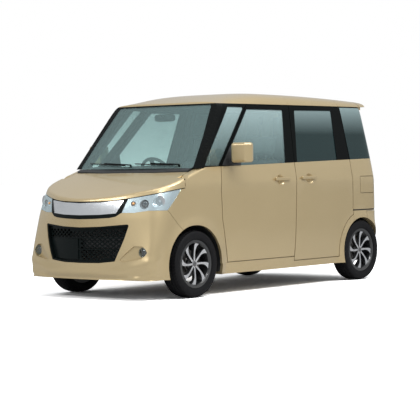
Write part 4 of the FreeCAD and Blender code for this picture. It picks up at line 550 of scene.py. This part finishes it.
def tyre_profile():
    """Half section of a tyre, from its bead to the middle of its tread."""
    half = TYRE_WIDTH / 2
    wall = [(0.0648, 0.1910), (0.0660, 0.2000), (0.0735, 0.2055), (0.0742, 0.2085),
            (0.0765, 0.2090), (0.0785, 0.2150), (half - 0.0012, 0.2290), (half - 0.0006, 0.2400),
            (half - 0.0014, 0.2490), (half - 0.0004, 0.2500), (half - 0.0022, 0.2570),
            (0.0775, 0.2640), (0.0735, 0.2712), (0.0690, 0.2738)]
    tread = [(0.0600, 0.2763), (0.0470, 0.2785), (0.0462, 0.2725), (0.0398, 0.2728),
             (0.0390, 0.2790), (0.0270, 0.2800), (0.0185, 0.2803), (0.0177, 0.2735),
             (0.0103, 0.2737), (0.0095, 0.2808), (0.0, 0.2810)]
    return wall + tread


def build_tyre(end, side, sign):
    """Tyre with ringed walls, two pairs of rain grooves and a cross-cut shoulder."""
    name = "tyre_%s_%s" % (end, side)
    axle, track = AXLES[end]
    half = tyre_profile()
    section = half + [(-x, r) for x, r in reversed(half[:-1])]
    stations = [(2 * math.pi * (i + share) / TREAD_PITCHES, cut)
                for i in range(TREAD_PITCHES) for share, cut in TREAD_PITCH]
    points = []
    for x, r in section:
        for angle, cut in stations:
            radius = r
            for low, high, depth in TREAD_CUTS:
                if cut and low < abs(x) < high:
                    radius -= depth
            points.append((sign * (track / 2 + x), axle + radius * math.cos(angle),
                           TYRE_RADIUS + radius * math.sin(angle)))
    faces = ring_faces(len(section), len(stations), sign < 0, "looped")
    obj = place("tyre_rubber_" + end + "_" + side, mesh_of(name, points, faces), "rubber",
                "wheel_%s_%s" % (end, side), False)
    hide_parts(name)


for end in ("front", "rear"):
    for side, sign in SIDES:
        build_tyre(end, side, sign)


# Seats

PAD_CUTS = 40
PAD_ROUNDING = 0.80
PAD_SIDE_PULL = 0.02
BOLSTER_START = 0.55
SEAM_DEPTH = 0.009
SEAM_SHARPNESS = 22.0
FRONT_SEAT_OFFSET = 0.3325
BENCH_HEAD_OFFSET = 0.300
BENCH_SEAMS = (("u", 0.04), ("u", 0.62), ("v", 0.2))


def pad(name, centre, size, tilt, crown, seams, bolster=0.0):
    """Crowned cushion, pulled in along its seams; its bolsters stand up at the sides.

    A seam lies across the pad at a share v of its depth, or on both sides of its middle at a
    share u of its width. The tilt is in degrees.
    """
    width, depth, height = (value / 2 for value in size)
    edge = min(width, depth, height) * PAD_ROUNDING
    turn = Matrix.Rotation(math.radians(tilt), 3, "X")
    grid = bmesh.new()
    bmesh.ops.create_cube(grid, size=2.0)
    bmesh.ops.subdivide_edges(grid, edges=grid.edges[:], cuts=PAD_CUTS, use_grid_fill=True)
    for vertex in grid.verts:
        u, v, w = vertex.co
        flat = Vector((u * width, v * depth, w * height))
        core = Vector([max(min(value, half - edge), edge - half)
                       for value, half in zip(flat, (width, depth, height))])
        out = flat - core
        point = core + out.normalized() * edge if out.length > 1e-6 else flat
        top = max(w, 0.0)
        shoulder = max(0.0, (abs(u) - BOLSTER_START) / (1 - BOLSTER_START))
        rise = crown * (1 - u**4) * (1 - v**4) + bolster * shoulder**1.5 * (1 - v**6)
        for direction, share in seams:
            across = v if direction == "v" else abs(u)
            rise -= SEAM_DEPTH * math.exp(-((across - share) * SEAM_SHARPNESS)**2)
        pull = 1.0 - PAD_SIDE_PULL * (1 - abs(w)) * (1 - (u * v)**2)
        point = Vector((point.x * pull, point.y * pull, point.z + rise * top))
        vertex.co = Vector(centre) + turn @ point
    mesh = bpy.data.meshes.new(name)
    grid.to_mesh(mesh)
    grid.free()
    obj = place(name, mesh, "fabric", "body")
    return obj


def head_rest(kind, side, centre, size, gap, foot, head):
    """Head rest on two posts, which run from a foot to a head given as station and height."""
    pad(kind + "_head_" + side, centre, size, 83.0, 0.006, (("u", 0.70),))
    for post, shift in (("in", -gap), ("out", gap)):
        x = centre[0] + shift
        tube("%s_post_%s_%s" % (kind, side, post), [(x, *foot), (x, *head)], 0.006, "steel",
             "body")


for side, sign in SIDES:
    middle = sign * FRONT_SEAT_OFFSET
    cushion = pad("seat_cushion_" + side, (middle, -0.025, 0.535), (0.472, 0.488, 0.125), -4.0,
                  0.014, (("u", 0.56), ("v", 0.05), ("v", 0.55)), 0.020)
    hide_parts("front_seat_" + side)
    pad("seat_back_" + side, (middle, 0.238, 0.845), (0.442, 0.600, 0.092), 72.5, 0.012,
        (("u", 0.56), ("v", -0.25), ("v", 0.35)), 0.022)
    head_rest("seat", side, (middle, 0.354, 1.262), (0.256, 0.168, 0.078), 0.055,
              (0.335, 1.10), (0.343, 1.20))
bench = pad("bench_cushion", (0.0, 0.850, 0.545), (1.136, 0.424, 0.120), -3.0, 0.014,
            BENCH_SEAMS, 0.012)
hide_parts("rear_seat")
pad("bench_back", (0.0, 1.095, 0.850), (1.104, 0.545, 0.082), 76.5, 0.012, BENCH_SEAMS, 0.012)
for side, sign in SIDES:
    head_rest("bench", side, (sign * BENCH_HEAD_OFFSET, 1.172, 1.228), (0.246, 0.140, 0.066),
              0.05, (1.158, 1.09), (1.165, 1.18))


# Lamps, wheels and seals

LAMP_AIM = (0.3, -0.95, 0.0)
LAMP_BOWLS = ((0.481, -1.561, 0.795), (0.565, -1.511, 0.792), (0.662, -1.442, 0.812))
LAMP_BOWL_DEPTH = 0.034
BOLT_CIRCLE = 0.0275
SEAL_GAP = 0.0035
SEAL_RADIUS = 0.0024
SEAL_DEPTH = 0.016
# Rays toward a side start out here, and a hit nearer the middle than this is no outer panel
SIDE_START = 1.2
SIDE_NEAREST = 0.60


def dress_lamps(side, sign):
    """Bulbs, a projector and bright rings in the three bowls of a headlamp."""
    aim = Vector((LAMP_AIM[0] * sign, *LAMP_AIM[1:])).normalized()
    feet = [Vector((x * sign, y, z)) - aim * LAMP_BOWL_DEPTH for x, y, z in LAMP_BOWLS]
    name = "lamp_%s_" % side
    lathe(name + "0_bulb", [(0.0, 0.006), (0.004, 0.0085), (0.022, 0.0105), (0.034, 0.009),
                            (0.041, 0.004)], feet[0], aim, "amber", "body", 24)
    lathe(name + "1_ring", [(0.0, 0.021), (0.020, 0.027), (0.030, 0.031), (0.034, 0.031),
                            (0.034, 0.026), (0.028, 0.024)], feet[1], aim, "grille_black",
          "body", 36)
    lathe(name + "1_dome", [(0.022, 0.0235), (0.032, 0.021), (0.039, 0.015), (0.043, 0.006)],
          feet[1], aim, "projector", "body", 36)
    lathe(name + "2_bulb", [(0.0, 0.007), (0.012, 0.009), (0.026, 0.009), (0.034, 0.005)],
          feet[2], aim, "reflector", "body", 24)
    for ring in range(3):
        start, inner = 0.010 * ring, 0.022 + 0.011 * ring
        lathe("%s2_step%d" % (name, ring),
              [(start + 0.002, inner), (start + 0.006, inner + 0.003),
               (start + 0.009, inner + 0.003), (start + 0.009, inner)],
              feet[2], aim, "chrome", "body", 40)


def dress_wheel(end, side, sign):
    """Blank centre cap and four bolts on one wheel."""
    axle, track = AXLES[end]
    body = "wheel_%s_%s" % (end, side)
    name = end + "_" + side
    axis = (sign, 0.0, 0.0)
    wheel = node_tree_of("rim_" + name)
    hub = Vector((sign * track / 2, axle, TYRE_RADIUS))
    lathe("cap_" + name, [(0.050, 0.0215), (0.0585, 0.0215), (0.0602, 0.0195), (0.0598, 0.016),
                          (0.0612, 0.010), (0.0615, 0.002)], hub, axis, "cap", body, 36)
    for i in range(4):
        angle = math.radians(90.0 * i + 22.5)
        spot = hub + BOLT_CIRCLE * Vector((0, math.cos(angle), math.sin(angle)))
        face, normal = touch(wheel, spot + Vector((sign * 0.2, 0, 0)), (-sign, 0, 0))
        if face is not None:
            lathe("bolt_%s_%d" % (name, i), [(-0.002, 0.0048), (0.001, 0.0055),
                                            (0.0035, 0.0052), (0.0040, 0.0035)],
                  face, axis, "steel", body, 6)


def belt(y):
    return BELT_HEIGHT + BELT_RISE * (y - BELT_STATION)


def seal_lines(side, sign):
    """Rubber seals in the gaps round the doors, and the dark strip in the slide rail."""
    # The shut lines in front of, between and behind the doors, as stations and heights
    door_head = DOOR_TOP - 0.004
    front = [(-0.640 - SEAL_GAP, 0.277), (-0.712 - SEAL_GAP, 0.640), (-0.724 - SEAL_GAP, 0.900),
             (-0.694 - SEAL_GAP, 1.074)]
    post = [(0.300, 0.285), (0.341, belt(0.341)), (0.407, door_head)]
    rear = [(1.211 + SEAL_GAP, 0.660), (1.213 + SEAL_GAP, belt(1.213)),
            (1.196 + SEAL_GAP, door_head)]
    front_door = node_tree_of("front_door_" + side)
    slide_door = node_tree_of("sliding_doors")
    for name, line, inward, door in (("front", front, 0.012, front_door),
                                     ("post", post, -0.012, front_door),
                                     ("rear", rear, -0.012, slide_door)):
        points = []
        for (y0, z0), (y1, z1) in zip(line, line[1:]):
            for i in range(9):
                y, z = between(y0, y1, i / 8), between(z0, z1, i / 8)
                spot, normal = touch(door, (sign * SIDE_START, y + inward, z), (-sign, 0, 0))
                if spot is not None and abs(spot.x) >= SIDE_NEAREST:
                    points.append((spot.x - sign * SEAL_DEPTH, y, z))
        if len(points) > 3:
            tube("seal_%s_%s" % (name, side), points, SEAL_RADIUS, "seal", "body")
    panel = node_tree_of("quarter_panels")
    strip = []
    for i in range(20):
        y = 1.225 + 0.405 * i / 19
        spot, normal = touch(panel, (sign * SIDE_START, y, SLIDE_RAIL_HEIGHT), (-sign, 0, 0))
        if spot is not None and abs(spot.x) > SIDE_NEAREST:
            strip.append((spot.x + sign * 0.0040, y, SLIDE_RAIL_HEIGHT))
    if len(strip) > 3:
        tube("slide_strip_" + side, strip, 0.0054, "seal", "body")


for side, sign in SIDES:
    dress_lamps(side, sign)
    seal_lines(side, sign)
    for end in ("front", "rear"):
        dress_wheel(end, side, sign)


# Windscreen, tail and cabin

# Wipers: the pivot and the tip of each, as x and height on the glass
WIPERS = (("right", (-0.02, 1.094), (-0.54, 1.120)), ("left", (0.50, 1.094), (0.02, 1.112)))
# Room mirror: how far behind its stem's head each ring lies, and its scale
MIRROR_RINGS = ((-0.002, 0.72), (0.006, 0.95), (0.018, 1.0), (0.022, 0.96))
MIRROR_HALF_WIDTH = 0.118
MIRROR_HALF_HEIGHT = 0.034
PLATE_HEIGHT = 0.790
VENTS = (-0.54, -0.14, 0.14, 0.54)
VENT_RADIUS = 0.031
VENT_FIN_PITCH = 0.011
STRAP_STATION = 0.372
STRAP_HALF_WIDTH = 0.023
STRAP_THICKNESS = 0.0015


def room_mirror(screen):
    """Mirror that hangs on a short stem from the head of the windscreen."""
    head, normal = touch(screen, (0.0, 0.3, 1.545), (0, -1, 0))
    if head is None:
        return
    back = head + Vector((0, 0.055, -0.030))
    tube("room_mirror_stem", [head + Vector((0, 0.004, 0)), back], 0.007, "seal", "body")
    outline = []
    for i in range(28):
        c, s = math.cos(2 * math.pi * i / 28), math.sin(2 * math.pi * i / 28)
        outline.append((math.copysign(abs(c)**0.45, c) * MIRROR_HALF_WIDTH,
                        math.copysign(abs(s)**0.55, s) * MIRROR_HALF_HEIGHT))
    points = [back + Vector((x * scale, depth, z * scale))
              for depth, scale in MIRROR_RINGS for x, z in outline]
    faces = ring_faces(len(MIRROR_RINGS), len(outline), True)
    place("room_mirror_shell", mesh_of("room_mirror_shell", points, faces), "grille_black",
          "body")


def dress_screen():
    """Wipers parked at the foot of the windscreen, and the room mirror at its head."""
    screen = node_tree_of("windscreen")

    def off_glass(x, z, distance):
        spot, normal = touch(screen, (x, -3.0, z), (0, 1, 0))
        if spot is None:
            return None
        return spot + normal * (-distance if normal.y > 0 else distance)

    for name, pivot, tip in WIPERS:
        line = [(between(pivot[0], tip[0], i / 8), between(pivot[1], tip[1], i / 8))
                for i in range(9)]
        blade = [off_glass(x, z, 0.009) for x, z in line[1:]]
        arm = [off_glass(x, z + 0.004, 0.017) for x, z in line[:6]]
        if None in blade or None in arm:
            continue
        tube("wiper_blade_" + name, blade, 0.0045, "seal", "body")
        tube("wiper_arm_" + name, arm, 0.0055, "grille_black", "body")
        tube("wiper_post_" + name, [arm[0], arm[0] + Vector((0.0, 0.012, -0.020))], 0.009,
             "grille_black", "body")
    room_mirror(screen)


def slab(name, centre, tilt, size, low, high, radius, finish):
    """Plate with round corners and a chamfered edge, between two heights over the tailgate."""
    width, height = size
    up = Vector((0, 0, 1)) - tilt * tilt.z
    up.normalize()
    outline = []
    for cx, cz, start in ((1, 1, 0), (-1, 1, 90), (-1, -1, 180), (1, -1, 270)):
        for i in range(7):
            angle = math.radians(start + 15 * i)
            outline.append((cx * (width / 2 - radius) + radius * math.cos(angle),
                            cz * (height / 2 - radius) + radius * math.sin(angle)))
    chamfer = 0.001
    rings = ((low, 1.0), (high - chamfer, 1.0), (high, 1 - chamfer / width))
    points = [centre + Vector((x * scale, 0, 0)) + up * z + tilt * off
              for off, scale in rings for x, z in outline]
    faces = ring_faces(len(rings), len(outline), True)
    place(name, mesh_of(name, points, faces), finish, "tailgate", False)


def rear_plate():
    """Blank registration plate in a shallow black holder on the tailgate."""
    spot, normal = touch(node_tree_of("tailgate"), (0.0, 3.0, PLATE_HEIGHT), (0, -1, 0))
    if spot is None:
        return
    tilt = normal if normal.y > 0 else -normal
    centre = spot + tilt * 0.001
    slab("plate_holder", centre, tilt, (0.350, 0.185), -0.002, 0.0012, 0.012, "plastic")
    slab("rear_plate", centre, tilt, (0.330, 0.165), 0.0010, 0.0024, 0.008, "plate")


def dress_dash():
    """Finned air vents in the dashboard."""
    board = node_tree_of("dashboard")
    for number, x in enumerate(VENTS):
        spot, normal = touch(board, (x, 0.4, 0.93), (0, -1, 0))
        if spot is None:
            continue
        lathe("vent_%d" % number, [(-0.004, 0.040), (0.006, 0.040), (0.009, 0.037),
                                   (0.006, 0.033), (0.001, VENT_RADIUS)],
              spot, (0, 1, 0), "chrome", "body", 32)
        for row in range(-2, 3):
            z = VENT_FIN_PITCH * row
            wide = math.sqrt(VENT_RADIUS**2 - z**2)
            tube("vent_fin_%d_%d" % (number, row + 2),
                 [spot + Vector((-wide, 0.005, z)), spot + Vector((wide, 0.005, z))], 0.0022,
                 "plastic", "body")


def seat_belt(side, sign):
    """Strap that hangs down the middle post from its upper loop."""
    wall = node_tree_of("side_frame_" + side)
    loop, normal = touch(wall, (sign * 0.2, STRAP_STATION, 1.300), (sign, 0, 0))
    foot, normal = touch(wall, (sign * 0.2, STRAP_STATION, 0.560), (sign, 0, 0))
    if loop is None or foot is None:
        return
    front, rear = STRAP_STATION - STRAP_HALF_WIDTH, STRAP_STATION + STRAP_HALF_WIDTH
    points = []
    for i in range(13):
        share = i / 12
        off = 0.010 + 0.006 * math.sin(math.pi * share)
        x = between(loop.x, foot.x, share) - sign * off
        z = between(loop.z, foot.z, share)
        inner = x - sign * STRAP_THICKNESS
        points += [(x, front, z), (x, rear, z), (inner, rear, z), (inner, front, z)]
    faces = ring_faces(13, 4, ends="open")
    place("belt_" + side, mesh_of("belt_" + side, points, faces), "cloth_belt", "body", False)
    lathe("belt_loop_" + side, [(-0.002, 0.026), (0.004, 0.030), (0.012, 0.028),
                                (0.016, 0.018)], loop, (-sign, 0, 0), "plastic", "body", 24)


dress_screen()
rear_plate()
dress_dash()
for side, sign in SIDES:
    seat_belt(side, sign)


# Floor, light and camera

FLOOR_REACH = 60.0
FLOOR_GREYS = (0.52, 0.58)
FLOOR_GREYS_SEEN = (1.95, 2.05)
SOFT_LIGHT = (0.96, 0.98, 1.0, 1.0)
SOFT_STRENGTH = 0.56
CAMERA_SPOT = (9.53445, -11.54096, 1.10938)
YAW, PITCH, ROLL = 0.6915, 0.0274, -0.0154


def floor_material():
    """Pale floor, so bright to the camera and through glass that only its shadows show."""
    material, shader = new_material("pale_floor")
    rays = add_node(material, "ShaderNodeLightPath")
    seen = calc(material, "MAXIMUM", rays.outputs["Is Camera Ray"],
                rays.outputs["Is Transmission Ray"])
    pale, bright = (mixed(material, noise(material, 0.3), (low,) * 3, (high,) * 3)
                    for low, high in (FLOOR_GREYS, FLOOR_GREYS_SEEN))
    link(material, mixed(material, seen, pale, bright), shader.inputs["Base Color"])
    shader.inputs["Roughness"].default_value = 1.0
    shader.inputs["Specular IOR Level"].default_value = 0.0
    return material


def studio_floor():
    mesh = bpy.data.meshes.new("floor")
    corners = ((-1, -1), (1, -1), (1, 1), (-1, 1))
    mesh.from_pydata([(x * FLOOR_REACH, y * FLOOR_REACH, 0) for x, y in corners], [],
                     [(0, 1, 2, 3)])
    floor = bpy.data.objects.new("floor", mesh)
    bpy.context.scene.collection.objects.link(floor)
    put_material(floor, floor_material())


def studio_world():
    """White for the camera and through glass, and a soft light on the object."""
    world = bpy.data.worlds.new("studio")
    bpy.context.scene.world = world
    world.use_nodes = True
    world.node_tree.nodes.clear()
    output = add_node(world, "ShaderNodeOutputWorld")
    soft = add_node(world, "ShaderNodeBackground", Color=SOFT_LIGHT, Strength=SOFT_STRENGTH)
    white = add_node(world, "ShaderNodeBackground", Color=(1.0, 1.0, 1.0, 1.0), Strength=1.0)
    rays = add_node(world, "ShaderNodeLightPath")
    seen = calc(world, "MAXIMUM", rays.outputs["Is Camera Ray"],
                rays.outputs["Is Transmission Ray"])
    choice = add_node(world, "ShaderNodeMixShader")
    link(world, seen, choice.inputs[0])
    link(world, soft.outputs[0], choice.inputs[1])
    link(world, white.outputs[0], choice.inputs[2])
    link(world, choice.outputs[0], output.inputs["Surface"])


def area_light(name, spot, target, size, power):
    light = bpy.data.lights.new(name, "AREA")
    light.shape = "RECTANGLE"
    light.size, light.size_y = size
    light.energy = power
    lamp = bpy.data.objects.new(name, light)
    bpy.context.scene.collection.objects.link(lamp)
    lamp.location = spot
    lamp.rotation_euler = (Vector(target) - Vector(spot)).to_track_quat("-Z", "Y").to_euler()


def portrait_camera():
    """Camera at the photograph's point of view."""
    lens = bpy.data.cameras.new("portrait")
    lens.sensor_width = 36.0
    lens.lens = 142.0
    lens.shift_x = 0.0041
    lens.shift_y = -0.0021
    lens.clip_end = 200.0
    lens.dof.use_dof = False
    camera = bpy.data.objects.new("portrait", lens)
    bpy.context.scene.collection.objects.link(camera)
    forward = Vector((-math.sin(YAW) * math.cos(PITCH), math.cos(YAW) * math.cos(PITCH),
                      -math.sin(PITCH)))
    level = forward.cross(Vector((0, 0, 1))).normalized()
    upright = level.cross(forward)
    right = level * math.cos(ROLL) + upright * math.sin(ROLL)
    up = upright * math.cos(ROLL) - level * math.sin(ROLL)
    turn = Matrix((right, up, -forward)).transposed().to_4x4()
    camera.matrix_world = Matrix.Translation(Vector(CAMERA_SPOT)) @ turn
    bpy.context.scene.camera = camera


studio_floor()
studio_world()
area_light("overhead", (2.0, -1.0, 5.5), (0, 0, 0.8), (6.0, 3.0), 150.0)
area_light("side_strip", (5.2, -1.0, 5.6), (0.7, 0, 1.0), (8.0, 1.0), 330.0)
area_light("nose_strip", (-1.5, -7.0, 4.2), (0, -1.5, 0.8), (4.0, 1.2), 150.0)
portrait_camera()
bpy.context.scene.view_settings.view_transform = "Standard"
